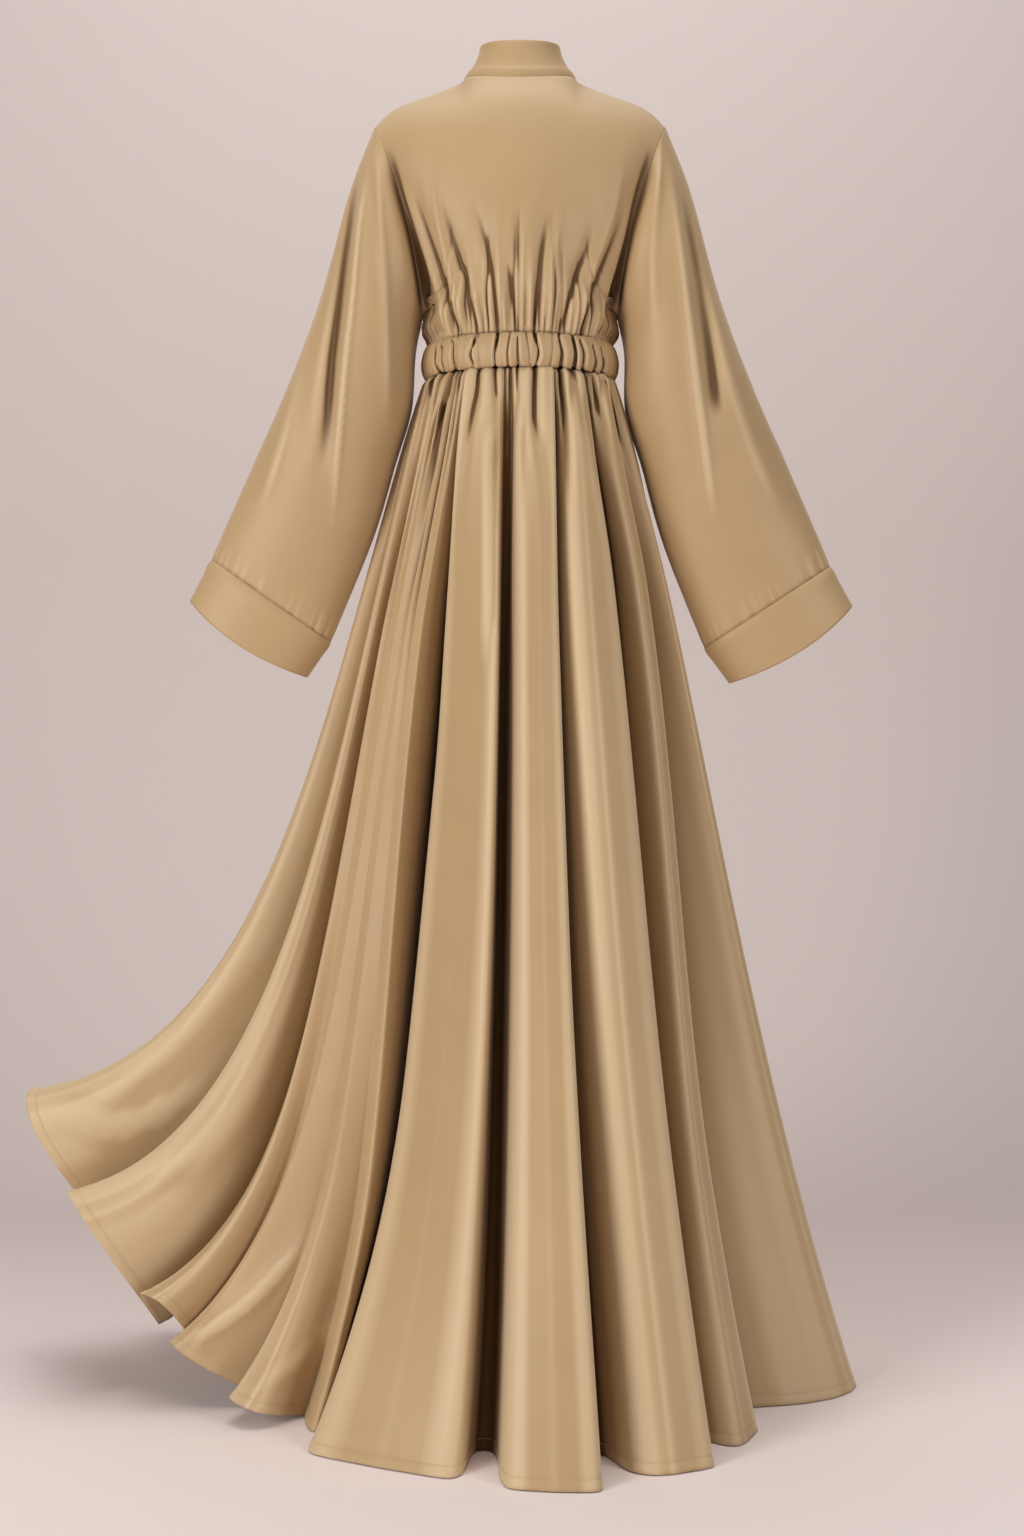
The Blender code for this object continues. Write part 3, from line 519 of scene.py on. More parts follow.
# %% The stand collar
def collar_net(columns=220, rows=36):
    """The stand collar, open at the centre front."""
    half_gap = CENTRE_FRONT_GAP / 2 / NECK_HALF_WIDTH
    turn = np.linspace(-0.5 * math.pi + half_gap, 1.5 * math.pi - half_gap, columns + 1)
    base = neckline(turn)
    top = neck_ring(
        turn,
        COLLAR_TOP_HALF_WIDTH,
        COLLAR_TOP_BACK,
        COLLAR_TOP_FRONT,
        COLLAR_TOP_SIDE_Z,
        COLLAR_TOP_BACK_DROP,
        COLLAR_TOP_FRONT_DROP,
    )
    net = []
    for height in np.linspace(1.0, 0.004, rows + 1):
        inward = 1.0 - (1.0 - height) ** 1.8
        row = base + (top - base) * inward
        row[:, 2] = base[:, 2] + (top[:, 2] - base[:, 2]) * height
        net.append(row)
    net = np.array(net)
    height = np.linspace(1.0, 0.0, rows + 1)[:, None]
    roll = 0.0008 * np.exp(-(((height - 0.17) / 0.09) ** 2)) - 0.0012 * np.exp(-((height / 0.05) ** 2))
    rim = -0.0006 * np.exp(-(((height - 1.0) / 0.05) ** 2))
    return net + net_normals(net) * (roll + rim)[:, :, None]


collar = cloth_shell("collar_shell", collar_net(), faced, thickness=FACED_CLOTH)
dress(collar, "collar")

# %% [markdown]
# ## Bodice
# The back is one piece and the front two. Gathers rise from the waist and fan out, and the deep folds
# beside the armholes run on to the shoulder, where the seam itself sinks into them. A cloth
# simulation would gather it too, but never in the same places. So the smooth bodice comes first, from
# its seams and its centre lines, and the pleats are pressed into it.

# %% Centre lines and pleats
ARMHOLE_ROWS, SIDE_ROWS = 66, 22
NECK_COLUMNS, SHOULDER_COLUMNS = 48, 82
UNDERARM_SHARE = 8 / 11        # how far down the bodice its underarm lies
ARMHOLE_SINK, SINK_WIDTH = 0.015, 0.015
ARMHOLE_PAINTED_SHADE = 0.9
BODICE_REACH, BODICE_RELIEF, BODICE_FINE = 9, 0.0034, 0.55
FINE_GATHERS = 58              # short gathers across the back, between the long ones
BACK_LINE = (
    # share   depth    z
    (0.00, 0.0550, -0.0143),
    (0.15, 0.0780, -0.0450),
    (0.40, 0.1010, -0.1200),
    (0.65, 0.1070, -0.1950),
    (0.87, 0.1060, -0.2700),
    (1.00, 0.0925, -0.3160),
)
FRONT_LINE = (
    (0.00, 0.0820, -0.0720),
    (0.15, 0.0960, -0.0980),
    (0.40, 0.1120, -0.1500),
    (0.65, 0.1130, -0.2080),
    (0.87, 0.1060, -0.2740),
    (1.00, 0.0925, -0.3160),
)
# Pleats that fan out from the waist, seen from behind, from the left armhole to the right one. Each
# runs from its faded end down to the seam.
BODICE_VALLEYS = (
    # height, half widths, points
    (-10, 6, 11, ((157, -71), (147, -121), (135, -165), (121, -215), (110, -259), (100, -300))),
    (-4.8, 7.2, 4, ((119, -82), (121, -132), (112, -170), (96, -220), (82, -265), (69, -308))),
    (-4.8, 6.9, 4, ((93, -110), (87, -154), (74, -204), (60, -248), (49, -308))),
    (-5.4, 6.6, 3, ((57, -132), (46, -170), (35, -215), (28, -259), (25, -308))),
    (-3.7, 5, 3, ((14, -205), (10, -240), (3, -308))),
    (-5.4, 6.6, 3, ((-35, -135), (-26, -198), (-19, -270), (-18, -308))),
    (-5.4, 6.9, 4, ((-90, -120), (-82, -184), (-68, -226), (-57, -259), (-46, -308))),
    (-4.8, 7.2, 4, ((-123, -132), (-115, -170), (-101, -212), (-87, -248), (-70, -308))),
    (-10, 6, 11, ((-154, -65), (-148, -110), (-142, -148), (-131, -195), (-118, -240), (-101, -300))),
)
BODICE_CRESTS = (
    # height, half widths, points
    (3, 4, 5, ((142, -85), (137, -125), (125, -159), (107, -215), (90, -270), (80, -308))),
    (3.2, 3, 5, ((102, -80), (100, -143), (92, -187), (79, -240), (60, -308))),
    (2.6, 4, 5, ((65, -135), (61, -204), (51, -259), (38, -308))),
    (2.4, 5, 5, ((27, -130), (24, -226), (16, -308))),
    (2.4, 11, 6, ((-32, -80), (-18, -143), (-8, -198), (-7, -308))),
    (2.8, 6, 5, ((-55, -105), (-46, -165), (-36, -226), (-30, -308))),
    (3, 4, 5, ((-124, -70), (-118, -121), (-107, -170), (-90, -212), (-74, -256), (-60, -308))),
    (3, 4, 5, ((-133, -130), (-125, -170), (-112, -220), (-98, -262), (-83, -308))),
)
BODICE_CREASES = BODICE_VALLEYS + BODICE_CRESTS


# %% Seams of the bodice
def shoulder_line(share):
    """The shoulder seam, from the neck (0) to the top of the armhole (1)."""
    x = NECK_HALF_WIDTH + (SHOULDER_HALF_WIDTH - NECK_HALF_WIDTH) * share
    round_off = 0.021
    slope = NECK_SIDE_Z - SHOULDER_TIP_Z - round_off
    z = NECK_SIDE_Z - slope * share**0.8 - round_off * share**7
    return np.stack([x, np.zeros_like(x), z], axis=-1)


def armhole(turn):
    """The left armhole seam, from the shoulder tip (0) over the back (pi / 2) to the underarm (pi)."""
    middle_x, half_x = (SHOULDER_HALF_WIDTH + UNDERARM_X) / 2, (SHOULDER_HALF_WIDTH - UNDERARM_X) / 2
    middle_z, half_z = (SHOULDER_TIP_Z + UNDERARM_Z) / 2, (SHOULDER_TIP_Z - UNDERARM_Z) / 2
    x = middle_x + half_x * np.cos(turn) - ARMHOLE_BOW * np.sin(turn) ** 2
    y = ARMHOLE_DEPTH * np.sin(turn)
    z = middle_z + half_z * np.cos(turn)
    return np.stack([x, y, z], axis=-1)


def armhole_sink(turn):
    """How far the armhole seam sinks into its fold: none at the shoulder, most below the middle."""
    from_top = 180.0 - np.abs(np.degrees(turn) - 180.0)
    return ARMHOLE_SINK * smooth((from_top - 30.0) / 60.0) * smooth((178.0 - from_top) / 40.0)


def bodice_side():
    """The bodice's left edge, row by row: down the back of the armhole, then down the side seam."""
    arm = armhole(np.linspace(0.0, math.pi, ARMHOLE_ROWS + 1))
    share = np.linspace(0.0, 1.0, SIDE_ROWS + 1)[1:]
    x = UNDERARM_X + (WAIST_HALF_WIDTH - UNDERARM_X) * share**2.5
    z = UNDERARM_Z + (CASING_TOP_Z - UNDERARM_Z) * share
    side = np.stack([x, np.zeros_like(x), z], axis=-1)
    return np.concatenate([arm, side])


# %% The smooth bodice
def bodice_half(side_sign):
    """The left half of the back (side_sign 1) or the left front (-1), from the side to the centre."""
    edge = bodice_side()
    rows = len(edge) - 1
    above = np.linspace(0, UNDERARM_SHARE, ARMHOLE_ROWS + 1)
    below = np.linspace(UNDERARM_SHARE, 1, SIDE_ROWS + 1)[1:]
    coarse = np.concatenate([above, below])
    line = read_curve(BACK_LINE if side_sign > 0 else FRONT_LINE, coarse)
    neck_turn = np.linspace(0.0, math.pi / 2, NECK_COLUMNS + 1) * side_sign
    shoulder = shoulder_line(np.linspace(1.0, 0.0, SHOULDER_COLUMNS + 1))
    top = np.concatenate([shoulder, neckline(neck_turn)[1:]])
    top[:, 1] = np.abs(top[:, 1])
    columns = len(top) - 1
    spread = 1.0 - np.arange(columns + 1) / columns
    net = np.zeros((rows + 1, columns + 1, 3))
    for row in range(rows + 1):
        down = coarse[row]
        body = smooth(down / 0.55)
        arched = 1.0 - max(0.0, 1.0 - down / 0.32) ** 4
        wrap = math.radians(58 + 32 * smooth((down - 0.35) / 0.4))
        side, (depth, height) = edge[row], line[row]
        x_top = top[:, 0] * side[0] / top[0, 0]
        x_body = side[0] * np.sin(wrap * spread) / math.sin(wrap)
        x = x_top + (x_body - x_top) * body
        sideways = x / side[0]
        to_side = sideways**1.5
        rise = depth - top[-1, 1]
        y_top = top[:, 1] + rise * (1 - to_side) + (side[1] - top[0, 1]) * to_side
        bow = np.sqrt(np.clip(1 - (sideways * math.sin(wrap)) ** 2, 0, 1))
        arch = (bow - math.cos(wrap)) / (1 - math.cos(wrap))
        y_body = side[1] + (depth - side[1]) * arch
        z_top = top[:, 2] + (height - top[-1, 2]) * (1 - to_side) + (side[2] - top[0, 2]) * to_side
        z_body = height * (1 - to_side) + side[2] * to_side
        net[row, :, 0] = x
        net[row, :, 1] = y_top + (y_body - y_top) * arched
        net[row, :, 2] = z_top + (z_body - z_top) * arched
        if row <= ARMHOLE_ROWS:
            sink = armhole_sink(np.array([math.pi * row / ARMHOLE_ROWS]))[0]
            from_seam = side[0] - x
            net[row, :, 1] -= sink * np.exp(-((from_seam / SINK_WIDTH) ** 2))
    net[:, :, 1] *= side_sign
    return net


def soften(net, passes=90):
    """Even out the columns below the neckline, more from row to row."""
    hold = smooth(np.arange(len(net)) / 4.0)[:, None, None]
    for _ in range(passes):
        middle = (net[:, :-2] + net[:, 2:]) / 2
        net[:, 1:-1] += (middle - net[:, 1:-1]) * hold * 0.5
    return net


# %% Gathers of the bodice
def fine_gathers(rows, columns, count, seed):
    """Short dips that run up from the waist seam, with uneven places, depths and lengths."""
    pick = np.random.default_rng(seed)
    up = 1.0 - np.linspace(0.0, 1.0, rows)[:, None]
    across = np.linspace(0.0, 1.0, columns)[None, :]
    lift = np.zeros((rows, columns))
    for place in uneven_places(count, 0.6, seed + 1) - 0.5 / count:
        depth, length = 0.0018 + 0.0034 * pick.random(), 0.14 + 0.42 * pick.random() ** 1.5
        half_width = 0.0052 * (1.0 + 1.0 * up / length)
        lift -= depth * (1.0 - smooth(up / length)) * np.exp(-(((across - place) / half_width) ** 2))
    return lift


def press_bodice(net, creases, side, gathers):
    """Gathers, blouse and seam edges of a bodice piece."""
    normals = net_normals(net)
    rows, columns = net.shape[:2]
    down = np.linspace(0.0, 1.0, rows)[:, None]
    across = np.linspace(0.0, 1.0, columns)[None, :]
    hold = smooth(np.minimum(across, 1 - across) * 22)
    blouse = 0.0050 * np.sin(math.pi * np.clip((down - 0.76) / 0.24, 0.0, 1.0)) ** 2 * hold
    lift = crease_heights(net, normals, creases, side, (0.7, 0.0))
    lift = lift + fine_gathers(rows, columns, gathers, 31)
    edge_hold = smooth(np.minimum(across, 1 - across) * columns / 7.0)
    lift = lift * edge_hold * (1.0 - 0.55 * smooth((down - 0.97) / 0.03)) + blouse
    waist_roll = -0.0015 * smooth((down - 0.985) / 0.015)
    neck_edge = -0.0009 * np.exp(-((down / 0.012) ** 2))
    net = net + normals * (lift + waist_roll + neck_edge)[:, :, None]
    net[-1, :, 2] = CASING_TOP_Z + SEAM_GAP
    return net


def bodice_relief(net, armhole_columns):
    """The relief and edge of a bodice piece, with painted shade in the deep folds beside its armholes."""
    relief, edge = cloth_relief(net, BODICE_REACH, BODICE_RELIEF, fine=BODICE_FINE)
    turn = np.pi * np.arange(len(net)) / ARMHOLE_ROWS
    depth = np.where(turn <= np.pi, armhole_sink(np.minimum(turn, np.pi)), 0.0)[:, None] / ARMHOLE_SINK
    # Painted shade beside the armhole seam, strongest where the seam sinks most.
    for column in armhole_columns:
        from_seam = np.linalg.norm(net - net[:, [column]], axis=-1)
        relief = relief - ARMHOLE_PAINTED_SHADE * depth * np.exp(-((from_seam / 0.013) ** 2))
    return relief, edge


# %% The back of the bodice
half = bodice_half(1)
back = np.concatenate([half, half[:, -2::-1] * MIRROR_X], axis=1)
back = press_bodice(soften(back), BODICE_CREASES, 1, FINE_GATHERS)
bodice_back = cloth_shell("bodice_back_shell", back, crepe, relief=bodice_relief(back, (0, -1)))
dress(bodice_back, "bodice_back")

# %% [markdown]
# ## Fronts of the bodice
# The two fronts meet edge to edge at the centre. One net, mirrored, gives both. A Mirror modifier
# would do that as well, but each front is a piece of its own. Their pleats are the back's, moved a
# few millimetres, so that the front isn't a copy of it.

# %% The two fronts
front = soften(bodice_half(-1)[:, ::-1])
front[:, 0, 0] = CENTRE_FRONT_GAP / 2
for side, net, armhole_column in (("left", front, -1), ("right", front[:, ::-1] * MIRROR_X, 0)):
    pressed = press_bodice(net, mirrored(BODICE_CREASES, 4), -1, FINE_GATHERS // 2)
    marks = bodice_relief(pressed, (armhole_column,))
    bodice_front = cloth_shell(f"bodice_front_{side}_shell", pressed, crepe, relief=marks)
    dress(bodice_front, f"bodice_front_{side}")

# %% [markdown]
# ## Sleeves and cuffs
# A wide sleeve hangs from the armhole and its long folds fall from the shoulder. It could be a tube
# along a curve, but its section changes from a tall ring at the armhole to a flat one at the cuff. So
# it runs through five sections, each between an outer and an inner edge, and the left one is turned
# into the right one. The cuff is a doubled band that flares a little.

# %% Sections and creases of the sleeves
SLEEVE_COLUMNS, SLEEVE_ROWS, CUFF_ROWS = 160, 120, 20
UNDERARM_GAP = 0.0008
CUFF_GATHERS = 36
SLEEVE_REACH, SLEEVE_RELIEF, SLEEVE_CREASE_PAINTED_SHADE = 5, 0.005, 50.0
SLEEVE_SECTIONS = {
    "left": (
        # along  outer x  outer z  inner x  inner z  depth
        (0.15, 0.1960, -0.128, 0.1225, -0.319, 0.080),
        (0.35, 0.2320, -0.258, 0.1275, -0.387, 0.082),
        (0.55, 0.2710, -0.362, 0.1460, -0.450, 0.074),
        (0.75, 0.3100, -0.450, 0.1700, -0.531, 0.062),
        (1.00, 0.3610, -0.564, 0.2220, -0.660, 0.046),
    ),
    "right": (
        (0.15, 0.1960, -0.128, 0.1225, -0.319, 0.080),
        (0.35, 0.2320, -0.258, 0.1240, -0.389, 0.082),
        (0.55, 0.2710, -0.362, 0.1430, -0.454, 0.074),
        (0.75, 0.3100, -0.450, 0.1660, -0.538, 0.062),
        (1.00, 0.3630, -0.572, 0.2160, -0.667, 0.046),
    ),
}
CUFF_ENDS = {
    # outer x, outer z, inner x, inner z, depth, bow
    "left": (0.3855, -0.612, 0.2500, -0.701, 0.044, 0.012),
    "right": (0.3880, -0.618, 0.2460, -0.708, 0.044, 0.012),
}
SLEEVE_CREASES = {
    "left": (
        # height, half widths, points
        (4, 4, 5, ((176, -85), (184, -135), (190, -180), (197, -264), (204, -326), (214, -446),
                (222, -550))),
        (3.5, 4, 8, ((171, -68), (165, -143), (159, -226), (155, -329), (153, -446))),
        (5, 5, 10, ((222, -215), (235, -258), (258, -340), (285, -446), (312, -520))),
        (-9, 6, 9, ((181, -80), (192, -117), (200, -170), (207, -218), (214, -275), (222, -337),
                (227, -400), (240, -500))),
    ),
    "right": (
        (3.5, 4, 8, ((-166, -60), (-161, -132), (-156, -198), (-154, -304))),
        (4.5, 6, 8, ((-175, -80), (-188, -195), (-203, -326), (-217, -437), (-229, -536))),
        (-7, 7, 11, ((-182, -82), (-198, -171), (-215, -263), (-227, -354), (-231, -408))),
        (5, 10, 14, ((-210, -203), (-227, -272), (-249, -359), (-277, -446), (-313, -523))),
    ),
}


# %% Nets of the sleeve and the cuff
def armhole_parting(turn):
    """0 where the sleeve carries on from the bodice, 1 at the underarm, where both hang down."""
    return smooth((85.0 - np.abs(np.degrees(turn) - 180.0)) / 65.0)


def sleeve_ring(outer, inner, depth, turn):
    """One section of the sleeve between its outer and its inner edge."""
    middle, reach = (outer + inner) / 2, (outer - inner) / 2
    ring = middle + np.cos(turn)[:, None] * reach
    ring[:, 1] += depth * np.sign(np.sin(turn)) * np.abs(np.sin(turn)) ** 0.9
    return ring


def sleeve_net(side):
    """One sleeve, laid out on the left, from the armhole to the cuff seam."""
    turn = np.linspace(0.0, 2 * math.pi, SLEEVE_COLUMNS + 1)
    start = armhole(turn)
    start[:, 0] += SEAM_GAP + armhole_parting(turn) * UNDERARM_GAP
    outer_start, inner_start = start[0], start[SLEEVE_COLUMNS // 2]
    first = (0.0, outer_start[0], outer_start[2], inner_start[0], inner_start[2], ARMHOLE_DEPTH)
    sections = (first,) + SLEEVE_SECTIONS[side]
    along = np.linspace(0.0, 1.0, SLEEVE_ROWS + 1) ** 1.15
    rows = []
    for share, (outer_x, outer_z, inner_x, inner_z, depth) in zip(along, read_curve(sections, along)):
        outer = np.array([outer_x, 0.0, outer_z])
        inner = np.array([inner_x, 0.0, inner_z])
        ring = sleeve_ring(outer, inner, depth, turn)
        first_ring = sleeve_ring(outer_start, inner_start, ARMHOLE_DEPTH, turn)
        ring += (start - first_ring) * (1.0 - smooth(share / 0.24))
        sink = armhole_sink(turn) * np.exp(-((share / 0.035) ** 2))
        ring[:, 1] -= sink * np.sign(np.sin(turn))
        rows.append(ring)
    return np.array(rows)


def cuff_net(side, seam):
    """The cuff, from the sleeve's last ring to its open end."""
    outer_x, outer_z, inner_x, inner_z, depth, bow = CUFF_ENDS[side]
    turn = np.linspace(0.0, 2 * math.pi, SLEEVE_COLUMNS + 1)
    end = sleeve_ring(np.array([outer_x, 0.0, outer_z]), np.array([inner_x, 0.0, inner_z]), depth, turn)
    onward = unit(end.mean(axis=0) - seam.mean(axis=0))
    end += onward * (bow * np.sin(turn) ** 2)[:, None]
    steps = np.linspace(0.0, 1.0, CUFF_ROWS + 1)[:, None, None]
    net = seam + (end - seam) * steps
    down = steps[:, :, 0]
    edge = -0.0010 * np.exp(-((down / 0.05) ** 2)) + 0.0006 * np.exp(-(((down - 0.16) / 0.1) ** 2))
    return net + net_normals(net, ring=True) * edge[:, :, None]


# %% Press the folds and sew on the cuff
def cuff_puckers(columns):
    """How deep the small gathers above the cuff seam are, column by column."""
    pick = np.random.default_rng(17)
    depths = 0.0003 + 0.0011 * pick.random(CUFF_GATHERS)
    return pinch_profile(np.linspace(0.0, 1.0, columns), uneven_places(CUFF_GATHERS, 0.6, 5), depths, 0.006)


def make_sleeve(side):
    """A sleeve with its folds, and its cuff."""
    net = sleeve_net(side)
    cuff = cuff_net(side, net[-1])
    if side == "right":
        net, cuff = (part[:, ::-1] * MIRROR_X for part in (net, cuff))
    normals = net_normals(net, ring=True)
    creases = SLEEVE_CREASES[side]
    fades = (0.3, 0.25)
    seen = crease_heights(net, normals, creases, 1, fades) - crease_heights(net, normals, creases, -1, fades)
    share = np.linspace(0.0, 1.0, net.shape[0])[:, None]
    seen *= smooth(share / 0.03) * smooth((1.0 - share) / 0.03)
    seam_roll = 0.0008 * np.exp(-(((1 - share) / 0.008) ** 2))
    lift = -cuff_puckers(net.shape[1]) * smooth((share - 0.94) / 0.05) - seam_roll
    net = net + normals * lift[:, :, None]
    net[:, :, 1] += seen
    net[-1] += unit(net[-2] - net[-1]) * SEAM_GAP
    # The relief, which the material turns into painted shade and painted highlights, takes in the creases
    # and a painted shade at the armhole seam, where the sleeve sinks into its fold.
    relief, edge = cloth_relief(net, SLEEVE_REACH, SLEEVE_RELIEF, True)
    relief = relief + np.abs(seen) * np.sign(seen * np.sign(net[:, :, 1])) * SLEEVE_CREASE_PAINTED_SHADE
    sunk = armhole_sink(np.linspace(0.0, 2 * math.pi, SLEEVE_COLUMNS + 1)) / ARMHOLE_SINK
    relief = relief - sunk * np.exp(-((share / 0.045) ** 2))
    sleeve = cloth_shell(f"sleeve_{side}_shell", net, crepe, True, relief=(relief, edge))
    dress(sleeve, f"sleeve_{side}")
    band = cloth_shell(f"cuff_{side}_shell", cuff, faced, ring=True, thickness=FACED_CLOTH)
    dress(band, f"cuff_{side}")


for side in ("left", "right"):
    make_sleeve(side)

# %% [markdown]
# ## Elastic waist
# A casing with elastic inside draws the cloth into small puckers. Between its two seams it bulges,
# pinches of uneven spacing and depth cross it, and the small crests between them shine. Even pinches
# could come from one wave, but then they would look like a spring. So their places, depths and leans
# are drawn at random from a fixed seed, and the deepest are placed one by one.

# %% Sizes and deep pinches of the casing
CASING_COLUMNS, CASING_ROWS = 620, 22
CASING_BULGE = 0.0065
CASING_REACH, CASING_RELIEF = 7, 0.0016
PINCHES = 64                   # small pinches between the deep ones, all round
CASING_STITCHES = 0.0035       # how far the rows of stitches lie from the seams
# The deepest pinches, seen from behind, from the casing's top seam to its lower one.
CASING_CREASES = (
    # height, half widths, points
    (-3.5, 2, 2.2, ((100, -316), (101, -334), (93, -346))),
    (-3, 1.6, 2, ((92, -314), (93, -330), (89, -345))),
    (-5, 1.8, 2.6, ((79, -308), (79, -328), (75, -343))),
    (-5, 1.8, 2.6, ((53, -305), (59, -322), (55, -336))),
    (-6.5, 2, 2.4, ((26, -299), (30, -320), (29, -337))),
    (-3.5, 1.6, 3.2, ((3, -302), (3, -320), (2, -337))),
    (-3, 1.6, 2, ((12, -299), (15, -320), (14, -337))),
    (-6.5, 2, 2.4, ((-17, -297), (-22, -320), (-18, -337))),
    (-5.5, 2, 3, ((-46, -299), (-50, -320), (-48, -337))),
    (-4.5, 1.8, 2.6, ((-62, -302), (-66, -322), (-63, -340))),
    (-5, 1.8, 2.4, ((-71, -305), (-76, -322), (-74, -342))),
    (-3.5, 1.6, 2.4, ((-86, -312), (-90, -330), (-87, -344))),
    (-3.5, 1.6, 2.2, ((-96, -314), (-99, -334), (-95, -348))),
)


# %% The puckered casing
def waist_ring(turn, height, grow=0.0):
    """A ring at the waist, grown outward by a distance that may vary along it."""
    outward = unit(np.stack([np.cos(turn) / WAIST_HALF_WIDTH, np.sin(turn) / WAIST_HALF_DEPTH], axis=-1))
    ring = np.zeros((len(turn), 3))
    ring[:, 0] = WAIST_HALF_WIDTH * np.cos(turn) + outward[:, 0] * grow
    ring[:, 1] = WAIST_HALF_DEPTH * np.sin(turn) + outward[:, 1] * grow
    ring[:, 2] = height
    return ring


def casing_net():
    """The puckered casing, open at the centre front."""
    half_gap = CENTRE_FRONT_GAP / 2 / WAIST_HALF_WIDTH
    turn = np.linspace(-0.5 * math.pi + half_gap, 1.5 * math.pi - half_gap, CASING_COLUMNS + 1)
    round_share = np.linspace(0.0, 1.0, CASING_COLUMNS + 1)
    pick = np.random.default_rng(11)
    places = uneven_places(PINCHES, 0.7, 3)
    sizes = 0.0004 + 0.0022 * pick.random(PINCHES) ** 1.5
    lean = (pick.random(PINCHES) - 0.5) * 0.016
    rows = []
    for share in np.linspace(0.0, 1.0, CASING_ROWS + 1):
        bulge = CASING_BULGE * math.sin(math.pi * min(max(share, 0.0), 1.0) ** 1.15) ** 0.6
        dips = pinch_profile(round_share, places + lean * (share - 0.5), sizes, 0.0030)
        near_seam = abs(2 * share - 1) ** 3
        grow = bulge - dips * (0.7 + 0.8 * near_seam) + 0.0014
        rows.append(waist_ring(turn, CASING_TOP_Z + (CASING_BOTTOM_Z - CASING_TOP_Z) * share, grow))
    net = np.array(rows)
    normals = net_normals(net)
    lift = crease_heights(net, normals, CASING_CREASES, 1, (0.0, 0.0))
    lift += crease_heights(net, normals, mirrored(CASING_CREASES), -1, (0.0, 0.0))
    return net + normals * lift[:, :, None]


casing = casing_net()
# The casing's relief gives painted shade in its pinches and painted highlights on the edges of its crests.
marks = cloth_relief(casing, CASING_REACH, CASING_RELIEF)
waist_casing = cloth_shell("waist_casing_shell", casing, crepe, relief=marks)
casing_out = net_normals(casing)
casing_lines = (
    line_on_net(casing, casing_out, CASING_STITCHES),
    line_on_net(casing[::-1], casing_out[::-1], CASING_STITCHES),
)
casing_stitches = sew("waist_casing_stitches", casing_lines, CLOTH / 2)
dress(waist_casing, "waist_casing")

# %% [markdown]
# ## The folds of the skirt
# The skirt hangs in deep folds that open from the waist to the hem, and its left side is blown out
# into a train. A wave along its hem could make folds, but all alike. So one row below is one fold,
# counterclockwise from the left side seam. It says where the fold's ridge leaves the waist, and where
# the ridge and the valley after it meet the hem, with their height above the floor. Then it says how
# far the fold is blown sideways, how late its valley deepens, how sharp its two edges are (0 round,
# 1 a knife edge that hangs over the valley), and how far the fold slides toward the next one halfway
# down (below 0 toward the last one). A few folds also shift sideways or inward at middle height.

# %% One row for each fold
Fold = namedtuple(
    "Fold",
    "waist ridge_x ridge_y ridge_lift valley_x valley_y valley_lift sweep deepens before after slide",
)
FOLD_ROWS = (
    # waist  ridge x, y, lift     valley x, y, lift   sweep deepens edges    slide
    (  5,  0.580, -0.005, 0.330,  0.512, -0.010, 0.200, 1.00, 1.0, 0.2, 0.2,  0.0),
    ( 19,  0.494,  0.090, 0.211,  0.418,  0.035, 0.078, 0.98, 0.9, 0.5, 0.2,  0.0),
    ( 33,  0.410,  0.118, 0.128,  0.372,  0.065, 0.067, 0.85, 4.0, 1.0, 0.3, -0.5),
    ( 41,  0.389,  0.095, 0.066,  0.309,  0.100, 0.021, 0.80, 4.0, 0.2, 0.2, -0.8),
    ( 48,  0.299,  0.176, 0.022,  0.240,  0.130, 0.000, 0.72, 4.0, 0.7, 0.2, -1.0),
    ( 55,  0.227,  0.183, 0.000,  0.222,  0.150, 0.000, 0.50, 0.7, 0.3, 0.5, -1.0),
    ( 66,  0.147,  0.304, 0.000,  0.035,  0.250, 0.000, 0.60, 0.7, 1.0, 1.0,  0.0),
    ( 99, -0.033,  0.378, 0.000, -0.080,  0.262, 0.000, 0.05, 0.6, 1.0, 1.0,  0.0),
    (122, -0.155,  0.325, 0.000, -0.190,  0.215, 0.000, 0.00, 0.6, 0.4, 1.0,  0.0),
    (145, -0.240,  0.222, 0.000, -0.238,  0.110, 0.000, 0.05, 0.8, 0.1, 1.0,  0.3),
    (163, -0.382,  0.035, 0.000, -0.330, -0.045, 0.000, 0.01, 1.0, 0.2, 0.4,  0.0),
    (189, -0.369, -0.130, 0.000, -0.280, -0.165, 0.000, 0.04, 1.0, 0.3, 0.6,  0.0),
    (212, -0.300, -0.250, 0.000, -0.205, -0.240, 0.000, 0.00, 1.0, 0.8, 0.3,  0.0),
    (237, -0.185, -0.330, 0.000, -0.090, -0.280, 0.000, 0.00, 1.0, 0.5, 0.7,  0.0),
    (270,  0.000, -0.372, 0.000,  0.090, -0.280, 0.000, 0.00, 1.0, 0.9, 0.9,  0.0),
    (302,  0.190, -0.328, 0.000,  0.240, -0.240, 0.008, 0.15, 1.0, 0.7, 0.3,  0.0),
    (319,  0.340, -0.275, 0.030,  0.360, -0.180, 0.070, 0.50, 1.0, 0.2, 0.6,  0.0),
    (333,  0.450, -0.225, 0.125,  0.455, -0.130, 0.180, 0.80, 1.0, 0.3, 0.2,  0.0),
    (346,  0.540, -0.168, 0.255,  0.530, -0.100, 0.300, 0.95, 1.0, 0.2, 0.2,  0.0),
)
SKIRT_FOLDS = [Fold(*row) for row in FOLD_ROWS]
FOLD_SHIFTS = {
    # fold: ridge x, valley x, valley y
    1: (0.000, 0.000, -0.030),
    5: (0.000, -0.014, -0.050),
    6: (-0.009, 0.008, 0.000),
    7: (0.000, 0.010, -0.020),
    8: (0.005, 0.000, -0.035),
    9: (0.000, 0.000, -0.045),
}
NO_SHIFT = (0.0, 0.0, 0.0)
LEFT_SEAM_FOLD, RIGHT_SEAM_FOLD, CENTRE_FRONT_FOLD = 0, 11, 14
WAIST_FOLD_HEIGHT = 0.003
